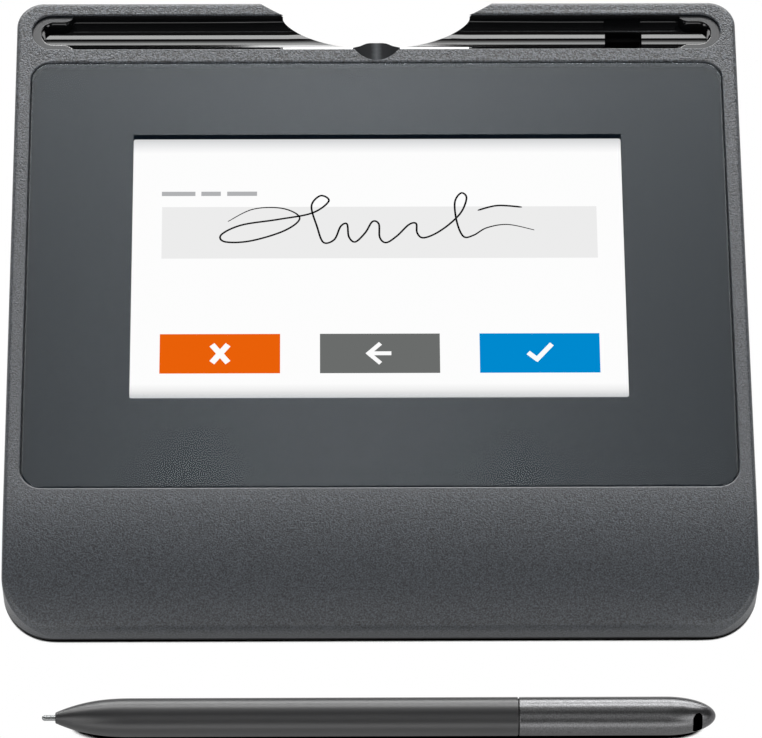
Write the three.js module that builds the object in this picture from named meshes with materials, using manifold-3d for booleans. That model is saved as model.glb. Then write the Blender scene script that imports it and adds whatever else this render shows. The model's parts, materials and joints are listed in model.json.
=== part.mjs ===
// Desktop signature pad with its battery-free pen.
// The pad is a low wedge: glass and case top slope up to the rear, the pen groove runs along the rear edge.
// The pen lies on the table in front of the pad, nib to the left.
// Millimetres, +X right, +Y to the rear, +Z up. The origin is the middle of the set, on the table.
import * as THREE from 'three';
import { mergeVertices } from 'three/addons/utils/BufferGeometryUtils.js';
import Module from 'manifold-3d';

const wasm = await Module();
wasm.setup();

// Screen and cover glass
const SCREEN_WIDTH = 108;
const SCREEN_HEIGHT = 64.8;
const GLASS_SIDE_BORDER = 23.05;
const GLASS_REAR_BORDER = 18.8;
const GLASS_FRONT_BORDER = 22.6;
const GLASS_THICKNESS = 1.8;
const GLASS_CORNER_RADIUS = 4.7;
const GLASS_EDGE_CHAMFER = 0.25;
const GLASS_RECESS = 0.25;
const GLASS_GAP = 0.2;
const TAPE_THICKNESS = 0.5;
const TAPE_WIDTH = 7;

// Case
const CASE_SIDE_BORDER = 3.45;
const PALM_DEPTH = 30.45;
const PALM_DROP = 9.2;
const FRONT_LAND = 0.6;
const CASE_EDGE_RADIUS = 1.2;
const CASE_REAR_CORNER = 6;
const CASE_FRONT_CORNER = 11;
const CASE_WALL = 2.2;
const LEDGE_THICKNESS = 1.8;
const OPENING_CHAMFER = 0.3;
const TILT_DEGREES = 4;
const LOWER_FRONT_HEIGHT = 1;
const LOWER_WALL = 2;
const LOWER_FLOOR = 2;
const BOTTOM_EDGE_RISE = 0.6;
const BOTTOM_EDGE_INSET = 1.1;
const LIP_THICKNESS = 1.2;
const LIP_RISE = 1.2;
const LIP_ROOT = 2.2;
const LIP_ROOT_OVERLAP = 0.5;

// Pen groove, finger scallop and thumb dish
const GROOVE_STRIP = 3.45;
const REAR_STRIP = 3.35;
const GROOVE_PLAY = 0.77;
const GROOVE_SHOULDER = 2;
const GROOVE_LIP = 0.5;
const TRAY_WALL = 1.4;
const TRAY_FLOOR = 1.8;
const TRAY_LEDGE_END = 2;
const TRAY_SLOT_WIDTH = 5.6;
const TRAY_STEP_INSET = 9.05;
const TRAY_STEP_LENGTH = 2.2;
const STEP_PULL_SHARE = 0.6;
const SCALLOP_RADIUS = 45.4;
const SCALLOP_FRONT_SHARE = 0.425;
const THUMB_RADIUS = 7.9;
const THUMB_SLOPE_DEGREES = 38;
const THUMB_EDGE_MARGIN = 0.4;
const TONGUE_ROOT_HALF = 5.4;
const TONGUE_MIDDLE_HALF = 4.4;
const TONGUE_END_HALF = 2.6;
const TONGUE_MIDDLE_SHARE = 0.36;
const TONGUE_THICKNESS = 1.1;
const TETHER_WIDTH = 8.3;
const TETHER_INSET = 21.7;
const TETHER_DEPTH = 6.85;
const TETHER_WELL_WALL = 1.5;
const TETHER_ARCH_RADIUS = 2.25;
const TETHER_ARCH_DEPTH = 3.5;
const TETHER_HOLE_RADIUS = 1.8;

// Display stack and digitizer
const LCD_SIDE_MARGIN = 5;
const LCD_END_MARGIN = 4.2;
const LCD_CELL_THICKNESS = 1.4;
const LIGHT_GUIDE_THICKNESS = 1.8;
const LCD_SHEET = 0.4;
const LCD_WINDOW_GAP = 1.1;
const LED_BAR_WIDTH = 2.4;
const LED_SIZE = 1.6;
const SENSOR_THICKNESS = 0.8;
const SENSOR_OVERHANG = 3.6;
const SHIELD_THICKNESS = 0.4;
const CHASSIS_THICKNESS = 1;
const CHASSIS_MARGIN = 1.6;
const CHASSIS_FLANGE = 1.5;
const CHASSIS_EAR_RADIUS = 3.6;
const RELIEF_SHARES = { pitch: 0.667, halfWidth: 0.25, front: 0.75, rear: 0.25 };
const CHASSIS_BOSS_RADIUS = 2.8;
const CHASSIS_BOSS_OVERHANG = 4.4;
const CHASSIS_BOSS_INSET = 4.2;

// Electronics
const BOARD_THICKNESS = 1.6;
const BOARD_HALF_WIDTH = 46;
const BOARD_DEPTH = 46;
const BOARD_DROP = 3.35;
const BOARD_CORNER_RADIUS = 2;
const BOARD_SCREW_INSET = 4;
const STANDOFF_RADIUS = 3;
const CHIP_HEIGHT = 1.2;
const CONTROLLER_SIZE = 14;
const MEMORY_WIDTH = 9;
const AMPLIFIER_SIZE = 8;
const CRYSTAL_WIDTH = 3.2;
const PART_SPACING = 1.8;
const PART_SHARES = { controller: 0.2, memory: 0.3, amplifier: [-0.72, 0.72] };
const CONNECTOR_HEIGHT = 1.5;
const CONNECTOR_DEPTH = 4.2;
const FLEX_THICKNESS = 0.25;
const FLEX_BEND = 0.8;
const LCD_FLEX_WIDTH = 20;
const SENSOR_FLEX_WIDTH = 24;
const FLEX_SPACING = 1;
const USB_SCALLOP_GAP = 1.2;
const USB_WIDTH = 8.94;
const USB_HEIGHT = 3.2;
const USB_DEPTH = 7.4;
const USB_WALL = 0.35;
const USB_SETBACK = 1;
const USB_POCKET_MARGIN = 1.9;
const USB_TONGUE_MARGIN = 0.77;
const USB_TONGUE_HEIGHT = 0.7;
const LOCK_INSET = 20.5;
const LOCK_SLOT_WIDTH = 7;
const LOCK_SLOT_HEIGHT = 3;
const LOCK_PLATE_WIDTH = 15;
const LOCK_PLATE_CLEARANCE = 1;
const LOCK_PLATE_THICKNESS = 1.2;
const LOCK_RIB = 1.4;

// Fasteners and feet
const CASE_SCREW_RADIUS = 1.45;
const CASE_SCREW_LENGTH = 6;
const CASE_SCREW_HEAD_RADIUS = 2.7;
const CASE_SCREW_HEAD_HEIGHT = 1.6;
const CASE_BOSS_RADIUS = 3.2;
const CASE_BOSS_LENGTH = 6.8;
const SCREW_SEAT_THICKNESS = 1.6;
const SCREW_WELL_WALL = 1.3;
const SCREW_PLAY = 0.25;
const CASE_SCREW_SIDE_INSET = 7.5;
const CASE_SCREW_REAR_INSET = 4.2;
const CASE_SCREW_MIDDLE_Y = -2;
const CASE_SCREW_FRONT_SIDE_INSET = 30.5;
const CASE_SCREW_FRONT_INSET = 19.5;
const CHASSIS_SCREW_RADIUS = 1.2;
const CHASSIS_SCREW_LENGTH = 4.4;
const CHASSIS_SCREW_HEAD_RADIUS = 2.2;
const CHASSIS_SCREW_HEAD_HEIGHT = 1.2;
const BOARD_SCREW_RADIUS = 0.95;
const BOARD_SCREW_LENGTH = 4.4;
const BOARD_SCREW_HEAD_RADIUS = 1.9;
const BOARD_SCREW_HEAD_HEIGHT = 1.2;
const DRIVE_RADIUS = 0.9;
const DRIVE_DEPTH = 0.7;
const DRIVE_SIDES = 6;
const FOOT_LENGTH = 16;
const FOOT_WIDTH = 7;
const FOOT_PROUD = 1;
const FOOT_RECESS = 0.6;
const FOOT_EDGE = 0.3;
const FOOT_SIDE_INSET = 13.5;
const FOOT_FRONT_INSET = 13.5;
const FOOT_REAR_INSET = 10.5;

// Pen, measured from the nib's tip along its axis
const PEN_DIAMETER = 8.16;
const PEN_LENGTH = 141.7;
const PEN_GAP = 16;
const PEN_SHIFT_X = -0.55;
const PEN_WALL = 0.9;
const PEN_TIP_RADIUS = 1.18;
const PEN_TAPER_LENGTH = 19;
const TAPER_POWER = 2.4;
const PEN_JOINT_AT = 100.1;
const PEN_JOINT_GAP = 0.3;
const PEN_SPIGOT_LENGTH = 8;
const PEN_END_LENGTH = 10.5;
const NIB_RADIUS = 0.6;
const NIB_PROTRUSION = 2.8;
const NIB_LENGTH = 21;
const NIB_BORE_PLAY = 0.1;
const NIB_TRAVEL = 0.4;
const FERRITE_START = 9.6;
const FERRITE_LENGTH = 9.6;
const FERRITE_RADIUS = 1.9;
const COIL_INSET = 2.6;
const COIL_THICKNESS = 0.5;
const SENSOR_CAN_LENGTH = 6;
const CARRIER_END_GAP = 3.9;
const CARRIER_FLAT = 0.6;
const PEN_BOARD_INSET = 8;
const PEN_BOARD_WIDTH = 4;
const PEN_BOARD_THICKNESS = 0.8;
const EYELET_INSET = 3.7;
const EYELET_WIDTH = 1.9;
const EYELET_LENGTH = 3.7;
const EYELET_TURN_DEGREES = 46;

// Running gap between pieces that seat on each other, overrun of cuts, and weld distance of vertices
const FIT = 0.3;
const OVERRUN = 2;
const WELD = 0.0001;

// Roundness: steps on a quarter of an outline corner and on full circles
const CORNER_STEPS = 7;
const PALM_STEPS = 9;
const EDGE_STEPS = 4;
const SCREW_STEPS = 12;
const PEN_STEPS = 36;
const PEN_INSIDE_STEPS = 20;
const SCALLOP_STEPS = 108;
const HIDDEN_STEPS = 3;
const TROUGH_STEPS = 24;

// Places worked out from the sizes, in the pad's own frame:
// the case top is z = 0 and the screen's middle is the origin
const tilt = THREE.MathUtils.degToRad(TILT_DEGREES);
const glassHalfX = SCREEN_WIDTH / 2 + GLASS_SIDE_BORDER;
const glassRearY = SCREEN_HEIGHT / 2 + GLASS_REAR_BORDER;
const glassFrontY = -SCREEN_HEIGHT / 2 - GLASS_FRONT_BORDER;
const caseHalfX = glassHalfX + CASE_SIDE_BORDER;
const caseFrontY = glassFrontY - PALM_DEPTH;
const grooveHalf = (PEN_DIAMETER + GROOVE_PLAY) / 2;
const grooveFrontY = glassRearY + GROOVE_STRIP;
const grooveY = grooveFrontY + grooveHalf;
const grooveRearY = grooveY + grooveHalf;
const grooveHalfX = caseHalfX - CASE_SIDE_BORDER;
const caseRearY = grooveRearY + REAR_STRIP;
const partingZ = -(PALM_DROP + CASE_EDGE_RADIUS + FRONT_LAND);
const lowerTopZ = partingZ - FIT;
const scallopFrontY = grooveFrontY + 2 * grooveHalf * SCALLOP_FRONT_SHARE;
const scallopY = scallopFrontY + SCALLOP_RADIUS;
const grooveFloorZ = -GROOVE_SHOULDER - grooveHalf;
const trayTopZ = -GROOVE_LIP - FIT;
const trayBottomZ = grooveFloorZ - TRAY_FLOOR;

const glassTopZ = -GLASS_RECESS;
const glassBottomZ = glassTopZ - GLASS_THICKNESS;
const tapeTopZ = glassBottomZ - FIT;
const ledgeTopZ = tapeTopZ - TAPE_THICKNESS - FIT;
const ledgeBottomZ = ledgeTopZ - LEDGE_THICKNESS;
const lcdHalfX = SCREEN_WIDTH / 2 + LCD_SIDE_MARGIN + LCD_SHEET;
const lcdHalfY = SCREEN_HEIGHT / 2 + LCD_END_MARGIN + LCD_SHEET;
const windowHalfX = lcdHalfX + LCD_WINDOW_GAP;
const windowHalfY = lcdHalfY + LCD_WINDOW_GAP;
const cellTopZ = glassBottomZ - FIT;
const guideTopZ = cellTopZ - LCD_CELL_THICKNESS - FIT;
const lcdFloorZ = guideTopZ - LIGHT_GUIDE_THICKNESS - FIT;
const sensorTopZ = lcdFloorZ - LCD_SHEET - FIT;
const shieldTopZ = sensorTopZ - SENSOR_THICKNESS - FIT;
const chassisTopZ = shieldTopZ - SHIELD_THICKNESS - FIT;
const chassisBottomZ = chassisTopZ - CHASSIS_THICKNESS;
const flangeBottomZ = chassisBottomZ - CHASSIS_FLANGE;
const sensorHalfX = lcdHalfX + SENSOR_OVERHANG;
const sensorHalfY = lcdHalfY + SENSOR_OVERHANG;
const chassisHalfX = sensorHalfX + CHASSIS_MARGIN;
const chassisHalfY = sensorHalfY + CHASSIS_MARGIN;
const boardTopZ = chassisBottomZ - BOARD_DROP;
const boardBottomZ = boardTopZ - BOARD_THICKNESS;
const scallopWallRadius = SCALLOP_RADIUS + CASE_WALL;
const lipOuterInset = CASE_WALL + FIT;
const lipInnerInset = lipOuterInset + LIP_THICKNESS;
const boardRearY = caseRearY - lipInnerInset - FIT;
const boardFrontY = boardRearY - BOARD_DEPTH;
const tetherX = grooveHalfX - TETHER_INSET;
const tetherHalf = TETHER_WIDTH / 2;
const tetherWellFrontY = grooveFrontY - TETHER_WELL_WALL;
const lockX = LOCK_INSET - caseHalfX;
const scallopMouthHalf = Math.sqrt(SCALLOP_RADIUS ** 2 - (scallopY - caseRearY) ** 2);
const usbX = -(scallopMouthHalf + USB_SCALLOP_GAP + USB_POCKET_MARGIN + USB_WIDTH / 2);

// The pad stands on its feet with the parting line's front edge this high over the table
const frontPartingHeight = FOOT_PROUD + LOWER_FRONT_HEIGHT;
const originHeight = frontPartingHeight - caseFrontY * Math.sin(tilt) - partingZ * Math.cos(tilt);
const padPlace = new THREE.Matrix4().makeRotationX(tilt).setPosition(0, 0, originHeight);

// Height in the pad's frame of a point over pad coordinate y that lies this high over the table
function levelZ(y, height) {
  return (height - originHeight - y * Math.sin(tilt)) / Math.cos(tilt);
}

// Solids from three.js geometry
function solidOf(geometry) {
  const bare = geometry.index ? geometry.toNonIndexed() : geometry.clone();
  for (const name of Object.keys(bare.attributes)) {
    if (name !== 'position') bare.deleteAttribute(name);
  }
  const merged = mergeVertices(bare, WELD);
  const corners = merged.index.array;
  const kept = [];
  for (let i = 0; i < corners.length; i += 3) {
    const [a, b, c] = corners.slice(i, i + 3);
    if (a !== b && b !== c && c !== a) kept.push(a, b, c);
  }
  const mesh = new wasm.Mesh({
    numProp: 3,
    vertProperties: merged.attributes.position.array,
    triVerts: new Uint32Array(kept),
  });
  return new wasm.Manifold(mesh);
}

function geometryOf(solid) {
  const mesh = solid.getMesh();
  const geometry = new THREE.BufferGeometry();
  geometry.setAttribute('position', new THREE.BufferAttribute(mesh.vertProperties, 3));
  geometry.setIndex(new THREE.BufferAttribute(mesh.triVerts, 1));
  geometry.computeVertexNormals();
  return geometry;
}

function joined(solids) {
  return solids.reduce((whole, next) => whole.add(next));
}

// A block between two corners
function block(low, high) {
  const size = high.map((value, i) => value - low[i]);
  const middle = high.map((value, i) => (value + low[i]) / 2);
  return solidOf(new THREE.BoxGeometry(...size).translate(...middle));
}

// An upright round piece at x, y between two heights
function rod(x, y, low, high, radius, steps = SCREW_STEPS) {
  const geometry = new THREE.CylinderGeometry(radius, radius, high - low, steps);
  return solidOf(geometry.rotateX(Math.PI / 2).translate(x, y, (low + high) / 2));
}

// A plan shape raised between two heights
function plate(shape, low, high, steps = HIDDEN_STEPS) {
  const geometry = new THREE.ExtrudeGeometry(shape, {
    depth: high - low,
    bevelEnabled: false,
    curveSegments: steps,
  });
  return solidOf(geometry.translate(0, 0, low));
}

// A shape drawn in y and z, carried along x
function alongX(shape, left, right, steps = HIDDEN_STEPS) {
  const geometry = new THREE.ExtrudeGeometry(shape, {
    depth: right - left,
    bevelEnabled: false,
    curveSegments: steps,
  });
  const turn = new THREE.Matrix4().makeBasis(
    new THREE.Vector3(0, 1, 0),
    new THREE.Vector3(0, 0, 1),
    new THREE.Vector3(1, 0, 0),
  );
  return solidOf(geometry.applyMatrix4(turn).translate(left, 0, 0));
}

// A rectangle with rounded corners as a plan shape
function roundedRectangle(left, right, front, rear, radius) {
  const shape = new THREE.Shape();
  shape.moveTo(left + radius, front);
  shape.lineTo(right - radius, front);
  shape.absarc(right - radius, front + radius, radius, -Math.PI / 2, 0);
  shape.lineTo(right, rear - radius);
  shape.absarc(right - radius, rear - radius, radius, 0, Math.PI / 2);
  shape.lineTo(left + radius, rear);
  shape.absarc(left + radius, rear - radius, radius, Math.PI / 2, Math.PI);
  shape.lineTo(left, front + radius);
  shape.absarc(left + radius, front + radius, radius, Math.PI, 1.5 * Math.PI);
  return shape;
}

// A plan outline as points: the right side from front to rear, then the left side back,
// so that point i and its mirror image n - 1 - i share their y
function outline(plan, inset) {
  const { halfX, front, rear, frontRadius, rearRadius, stations = [], steps = CORNER_STEPS } = plan;
  const right = [];
  const frontR = Math.max(frontRadius - inset, WELD);
  const rearR = Math.max(rearRadius - inset, WELD);
  const sideX = halfX - inset;
  for (let i = 0; i <= steps; i++) {
    const angle = (i / steps) * Math.PI / 2;
    right.push([sideX - frontR + frontR * Math.sin(angle), front + inset + frontR * (1 - Math.cos(angle))]);
  }
  const sideStart = front + inset + frontR;
  for (const [share, end] of stations) {
    right.push([sideX, sideStart + share * (end - sideStart)]);
  }
  for (let i = 0; i <= steps; i++) {
    const angle = (i / steps) * Math.PI / 2;
    right.push([sideX - rearR * (1 - Math.cos(angle)), rear - inset - rearR + rearR * Math.sin(angle)]);
  }
  const left = right.map(([x, y]) => [-x, y]).reverse();
  return [...right, ...left];
}

// A closed skin over rings of equal length, lowest ring first
function loft(rings) {
  const count = rings[0].length;
  const points = rings.flat();
  const corners = [];
  const quad = (a, b, c, d) => corners.push(a, b, c, a, c, d);
  for (let k = 0; k + 1 < rings.length; k++) {
    for (let i = 0; i < count; i++) {
      const next = (i + 1) % count;
      quad(k * count + i, k * count + next, (k + 1) * count + next, (k + 1) * count + i);
    }
  }
  const top = (rings.length - 1) * count;
  for (let i = 0; i + 1 < count / 2; i++) {
    quad(top + i, top + i + 1, top + count - 2 - i, top + count - 1 - i);
    quad(i, count - 1 - i, count - 2 - i, i + 1);
  }
  const geometry = new THREE.BufferGeometry().setFromPoints(points);
  geometry.setIndex(corners);
  return solidOf(geometry);
}

function ring(plan, inset, heightAt) {
  return outline(plan, inset).map(([x, y]) => new THREE.Vector3(x, y, heightAt(y)));
}

// A cutter that opens a hole of the plan's outline with a chamfer at the case top
function chamferedCutter(plan, bottom, chamfer) {
  return loft([
    ring(plan, 0, () => bottom),
    ring(plan, 0, () => -chamfer),
    ring(plan, -chamfer - OVERRUN, () => OVERRUN),
  ]);
}

// Case outline; the side has extra points along the palm rest, where the top curves down
const palmStations = Array.from({ length: PALM_STEPS }, (_, i) => [(i + 1) / PALM_STEPS, glassFrontY]);
const casePlan = {
  halfX: caseHalfX,
  front: caseFrontY,
  rear: caseRearY,
  frontRadius: CASE_FRONT_CORNER,
  rearRadius: CASE_REAR_CORNER,
  stations: palmStations,
};
const lowerPlan = { ...casePlan, stations: [] };
const glassPlan = {
  halfX: glassHalfX,
  front: glassFrontY,
  rear: glassRearY,
  frontRadius: GLASS_CORNER_RADIUS,
  rearRadius: GLASS_CORNER_RADIUS,
};
const groovePlan = {
  halfX: grooveHalfX,
  front: grooveFrontY,
  rear: grooveRearY,
  frontRadius: grooveHalf,
  rearRadius: grooveHalf,
};

// The case top: flat around the glass, a quarter of an ellipse over the palm rest;
// inwards by a wall it stays parallel
function caseTopZ(y, wall) {
  const share = Math.min(1, Math.max(0, glassFrontY - y) / (PALM_DEPTH - wall));
  return -wall - (PALM_DROP - wall) * (1 - Math.sqrt(1 - share * share));
}

function scallop(radius, low, high) {
  return rod(0, scallopY, low, high, radius, SCALLOP_STEPS);
}

// Everything in the pad's frame that lies lower over the table than this height
function below(height) {
  const reach = 2 * (caseRearY - caseFrontY);
  const slab = new THREE.BoxGeometry(reach, reach, reach);
  slab.translate(0, 0, height - reach / 2);
  return solidOf(slab.applyMatrix4(padPlace.clone().invert()));
}

// Screw places in plan: the case halves, the chassis and the main board
const caseScrewX = caseHalfX - CASE_SCREW_SIDE_INSET;
const caseRearScrewY = glassRearY - CASE_SCREW_REAR_INSET;
const caseFrontScrewX = caseHalfX - CASE_SCREW_FRONT_SIDE_INSET;
const caseFrontScrewY = caseFrontY + CASE_SCREW_FRONT_INSET;
const caseScrewPlaces = [
  [-caseScrewX, caseRearScrewY],
  [caseScrewX, caseRearScrewY],
  [-caseScrewX, CASE_SCREW_MIDDLE_Y],
  [caseScrewX, CASE_SCREW_MIDDLE_Y],
  [-caseFrontScrewX, caseFrontScrewY],
  [caseFrontScrewX, caseFrontScrewY],
];
const caseBossEndZ = caseTopZ(caseFrontScrewY, CASE_WALL) - CASE_BOSS_LENGTH;
const screwSeatTopZ = caseBossEndZ - FIT;
const screwSeatZ = screwSeatTopZ - SCREW_SEAT_THICKNESS;
const caseScrewTipZ = screwSeatZ - FIT + CASE_SCREW_LENGTH;
const chassisScrewX = chassisHalfX + CHASSIS_BOSS_OVERHANG;
const chassisScrewY = chassisHalfY - CHASSIS_BOSS_INSET;
const chassisScrewPlaces = [
  [-chassisScrewX, -chassisScrewY],
  [chassisScrewX, -chassisScrewY],
  [-chassisScrewX, chassisScrewY],
  [chassisScrewX, chassisScrewY],
];
const chassisScrewTipZ = chassisBottomZ - FIT + CHASSIS_SCREW_LENGTH;
const boardScrewX = BOARD_HALF_WIDTH - BOARD_SCREW_INSET;
const boardFrontScrewY = boardFrontY + BOARD_SCREW_INSET;
const boardRearScrewY = tetherWellFrontY - FIT - STANDOFF_RADIUS;
const boardScrewPlaces = [
  [-boardScrewX, boardFrontScrewY],
  [boardScrewX, boardFrontScrewY],
  [-boardScrewX, boardRearScrewY],
  [boardScrewX, boardRearScrewY],
];
const boardScrewTipZ = boardTopZ + FIT - BOARD_SCREW_LENGTH;

// Upper case

// The tongue under the thumb dish closes the groove's front wall at the scallop
function thumbTongue(gap) {
  const rootY = grooveFrontY - TRAY_WALL - FIT - gap;
  const endY = scallopFrontY + OVERRUN;
  const middleY = grooveFrontY + (scallopFrontY - grooveFrontY) * TONGUE_MIDDLE_SHARE;
  const shape = new THREE.Shape();
  shape.moveTo(-TONGUE_ROOT_HALF - gap, rootY - FIT);
  shape.lineTo(TONGUE_ROOT_HALF + gap, rootY - FIT);
  shape.lineTo(TONGUE_ROOT_HALF + gap, grooveFrontY);
  shape.lineTo(TONGUE_MIDDLE_HALF + gap, middleY);
  shape.lineTo(TONGUE_END_HALF + gap, scallopFrontY);
  shape.lineTo(TONGUE_END_HALF + gap, endY);
  shape.lineTo(-TONGUE_END_HALF - gap, endY);
  shape.lineTo(-TONGUE_END_HALF - gap, scallopFrontY);
  shape.lineTo(-TONGUE_MIDDLE_HALF - gap, middleY);
  shape.lineTo(-TONGUE_ROOT_HALF - gap, grooveFrontY);
  return plate(shape, tongueBottomZ - gap, gap);
}

const thumbSlope = THREE.MathUtils.degToRad(THUMB_SLOPE_DEGREES);
const thumbFrontY = glassRearY + THUMB_EDGE_MARGIN;
const tongueBottomZ = -(scallopFrontY - thumbFrontY) * Math.tan(thumbSlope) - TONGUE_THICKNESS;

// A round cutter whose lowest line starts at the strip's front edge and falls to the rear
function thumbDish() {
  const length = 2 * THUMB_RADIUS + 2 * (scallopFrontY - thumbFrontY);
  const geometry = new THREE.CylinderGeometry(THUMB_RADIUS, THUMB_RADIUS, 2 * length, PEN_STEPS);
  geometry.rotateX(-thumbSlope);
  const liftY = THUMB_RADIUS * Math.sin(thumbSlope);
  const liftZ = THUMB_RADIUS * Math.cos(thumbSlope);
  return solidOf(geometry.translate(0, thumbFrontY + liftY, liftZ));
}

function trayEnvelope(gap) {
  return loft([
    ring(groovePlan, -TRAY_WALL - gap, () => trayBottomZ - gap),
    ring(groovePlan, -TRAY_WALL - gap, () => trayTopZ + gap),
  ]);
}

// Bosses for the case screws, hanging from the upper case
function caseBosses(gap) {
  return joined(caseScrewPlaces.map(
    ([x, y]) => rod(x, y, caseBossEndZ - gap, caseTopZ(y, CASE_WALL / 2), CASE_BOSS_RADIUS + gap),
  ));
}

function upperCase() {
  const skin = [ring(casePlan, 0, () => partingZ)];
  for (let i = EDGE_STEPS; i >= 0; i--) {
    const angle = (i / EDGE_STEPS) * Math.PI / 2;
    const inset = CASE_EDGE_RADIUS * (1 - Math.sin(angle));
    const drop = CASE_EDGE_RADIUS * (1 - Math.cos(angle));
    skin.push(ring(casePlan, inset, (y) => caseTopZ(y, 0) - drop));
  }
  const hollow = loft([
    ring(casePlan, CASE_WALL, () => partingZ - OVERRUN),
    ring(casePlan, CASE_WALL, (y) => caseTopZ(y, CASE_WALL)),
  ]);
  const seat = block(
    [-caseHalfX, glassFrontY - CASE_WALL, ledgeBottomZ],
    [caseHalfX, grooveFrontY - TRAY_WALL - FIT, 0],
  );
  const cavity = hollow.subtract(seat).subtract(scallop(scallopWallRadius, partingZ - 2 * OVERRUN, 0));
  let shell = loft(skin).subtract(cavity);

  const chassisBosses = chassisScrewPlaces.map(
    ([x, y]) => rod(x, y, chassisTopZ + FIT, ledgeBottomZ + LEDGE_THICKNESS / 2, CHASSIS_BOSS_RADIUS),
  );
  shell = joined([shell, caseBosses(0), ...chassisBosses]);

  shell = shell
    .subtract(chamferedCutter(glassPlan, ledgeTopZ, OPENING_CHAMFER))
    .subtract(block([-windowHalfX, -windowHalfY, ledgeBottomZ - OVERRUN], [windowHalfX, windowHalfY, 0]))
    .subtract(trayEnvelope(FIT))
    .subtract(chamferedCutter(groovePlan, trayTopZ - OVERRUN, OPENING_CHAMFER))
    .add(thumbTongue(0))
    .subtract(thumbDish())
    .subtract(scallop(SCALLOP_RADIUS, partingZ - OVERRUN, OVERRUN));

  const holes = caseScrewPlaces.map(
    ([x, y]) => rod(x, y, caseBossEndZ - OVERRUN, caseScrewTipZ + FIT, CASE_SCREW_RADIUS + SCREW_PLAY),
  );
  const chassisHoles = chassisScrewPlaces.map(
    ([x, y]) => rod(x, y, chassisTopZ - OVERRUN, chassisScrewTipZ + FIT, CHASSIS_SCREW_RADIUS + SCREW_PLAY),
  );
  return shell.subtract(joined([...holes, ...chassisHoles]));
}

// The outside of the tether well, which stands on the case bottom under the tray's opening
function tetherWellBlock(gap, low) {
  const reach = tetherHalf + TETHER_WELL_WALL + gap;
  return block(
    [tetherX - reach, tetherWellFrontY - gap, low],
    [tetherX + reach, caseRearY - lipOuterInset, trayBottomZ - FIT],
  );
}

// Lower case: bottom, outer walls, lip, screw wells, board stand-offs, tether well and rear openings
function lowerCase() {
  const floorHeight = FOOT_PROUD + LOWER_FLOOR;
  const skin = [];
  for (let i = 0; i <= EDGE_STEPS; i++) {
    const angle = (i / EDGE_STEPS) * Math.PI / 2;
    const inset = BOTTOM_EDGE_INSET * (1 - Math.sin(angle));
    const height = FOOT_PROUD + BOTTOM_EDGE_RISE * (1 - Math.cos(angle));
    skin.push(ring(lowerPlan, inset, (y) => levelZ(y, height)));
  }
  skin.push(ring(lowerPlan, 0, () => lowerTopZ));
  const bottomZ = levelZ(caseRearY, 0);
  const column = (inset, top) => loft([
    ring(lowerPlan, inset, () => bottomZ),
    ring(lowerPlan, inset, () => top),
  ]);

  const cavity = column(LOWER_WALL, OVERRUN)
    .subtract(below(floorHeight))
    .subtract(scallop(scallopWallRadius, bottomZ, OVERRUN));
  let shell = loft(skin).subtract(cavity);

  const lipRoot = column(LOWER_WALL - LIP_ROOT_OVERLAP, lowerTopZ);
  const lip = column(lipOuterInset, partingZ + LIP_RISE);
  const lipBand = lipRoot
    .add(lip)
    .subtract(column(lipInnerInset, OVERRUN))
    .subtract(caseBosses(FIT))
    .subtract(trayEnvelope(FIT))
    .subtract(scallop(scallopWallRadius + FIT, lowerTopZ, OVERRUN))
    .subtract(block(
      [-caseHalfX, caseFrontY, bottomZ - OVERRUN],
      [caseHalfX, caseRearY, lowerTopZ - LIP_ROOT],
    ))
    .subtract(below(FOOT_PROUD + BOTTOM_EDGE_RISE));

  const wellRadius = CASE_SCREW_HEAD_RADIUS + SCREW_PLAY;
  const wells = caseScrewPlaces.map(
    ([x, y]) => rod(x, y, levelZ(y, FOOT_PROUD), screwSeatTopZ, wellRadius + SCREW_WELL_WALL),
  );
  const standoffs = boardScrewPlaces.map(
    ([x, y]) => rod(x, y, levelZ(y, FOOT_PROUD), boardBottomZ - FIT, STANDOFF_RADIUS),
  );
  const tetherWell = tetherWellBlock(0, bottomZ);
  const room = column(LOWER_WALL / 2, lowerTopZ).add(column(lipOuterInset, OVERRUN));
  const inside = joined([...wells, ...standoffs, tetherWell, lockRibs(0, bottomZ)])
    .intersect(room)
    .subtract(below(FOOT_PROUD + BOTTOM_EDGE_RISE));
  shell = joined([shell, lipBand, inside]).subtract(scallop(SCALLOP_RADIUS, bottomZ, OVERRUN));

  const cuts = [];
  for (const [x, y] of caseScrewPlaces) {
    cuts.push(rod(x, y, bottomZ - OVERRUN, screwSeatZ, wellRadius));
    cuts.push(rod(x, y, bottomZ, 0, CASE_SCREW_RADIUS + SCREW_PLAY));
  }
  for (const [x, y] of boardScrewPlaces) {
    cuts.push(rod(x, y, boardScrewTipZ - FIT, 0, BOARD_SCREW_RADIUS + SCREW_PLAY));
  }
  const wellFloor = below(floorHeight);
  const wellInside = block(
    [tetherX - tetherHalf, grooveFrontY, bottomZ],
    [tetherX + tetherHalf, grooveFrontY + TETHER_DEPTH, 0],
  );
  cuts.push(wellInside.subtract(wellFloor));
  cuts.push(rod(tetherX, grooveFrontY + TETHER_DEPTH / 2, bottomZ - OVERRUN, 0, TETHER_HOLE_RADIUS));
  cuts.push(usbProfile(FIT, boardRearY, caseRearY + OVERRUN));
  cuts.push(usbProfile(USB_POCKET_MARGIN, caseRearY - USB_SETBACK, caseRearY + OVERRUN));
  cuts.push(lockSlot(boardRearY, caseRearY + OVERRUN));
  const recesses = footPlaces.map(([x, y]) => footSolid(x, y, FIT / 2, 0, FOOT_PROUD + FOOT_RECESS));
  for (const recess of recesses) {
    cuts.push(solidOf(geometryOf(recess).applyMatrix4(padPlace.clone().invert())));
  }
  return shell.subtract(joined(cuts));
}

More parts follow.
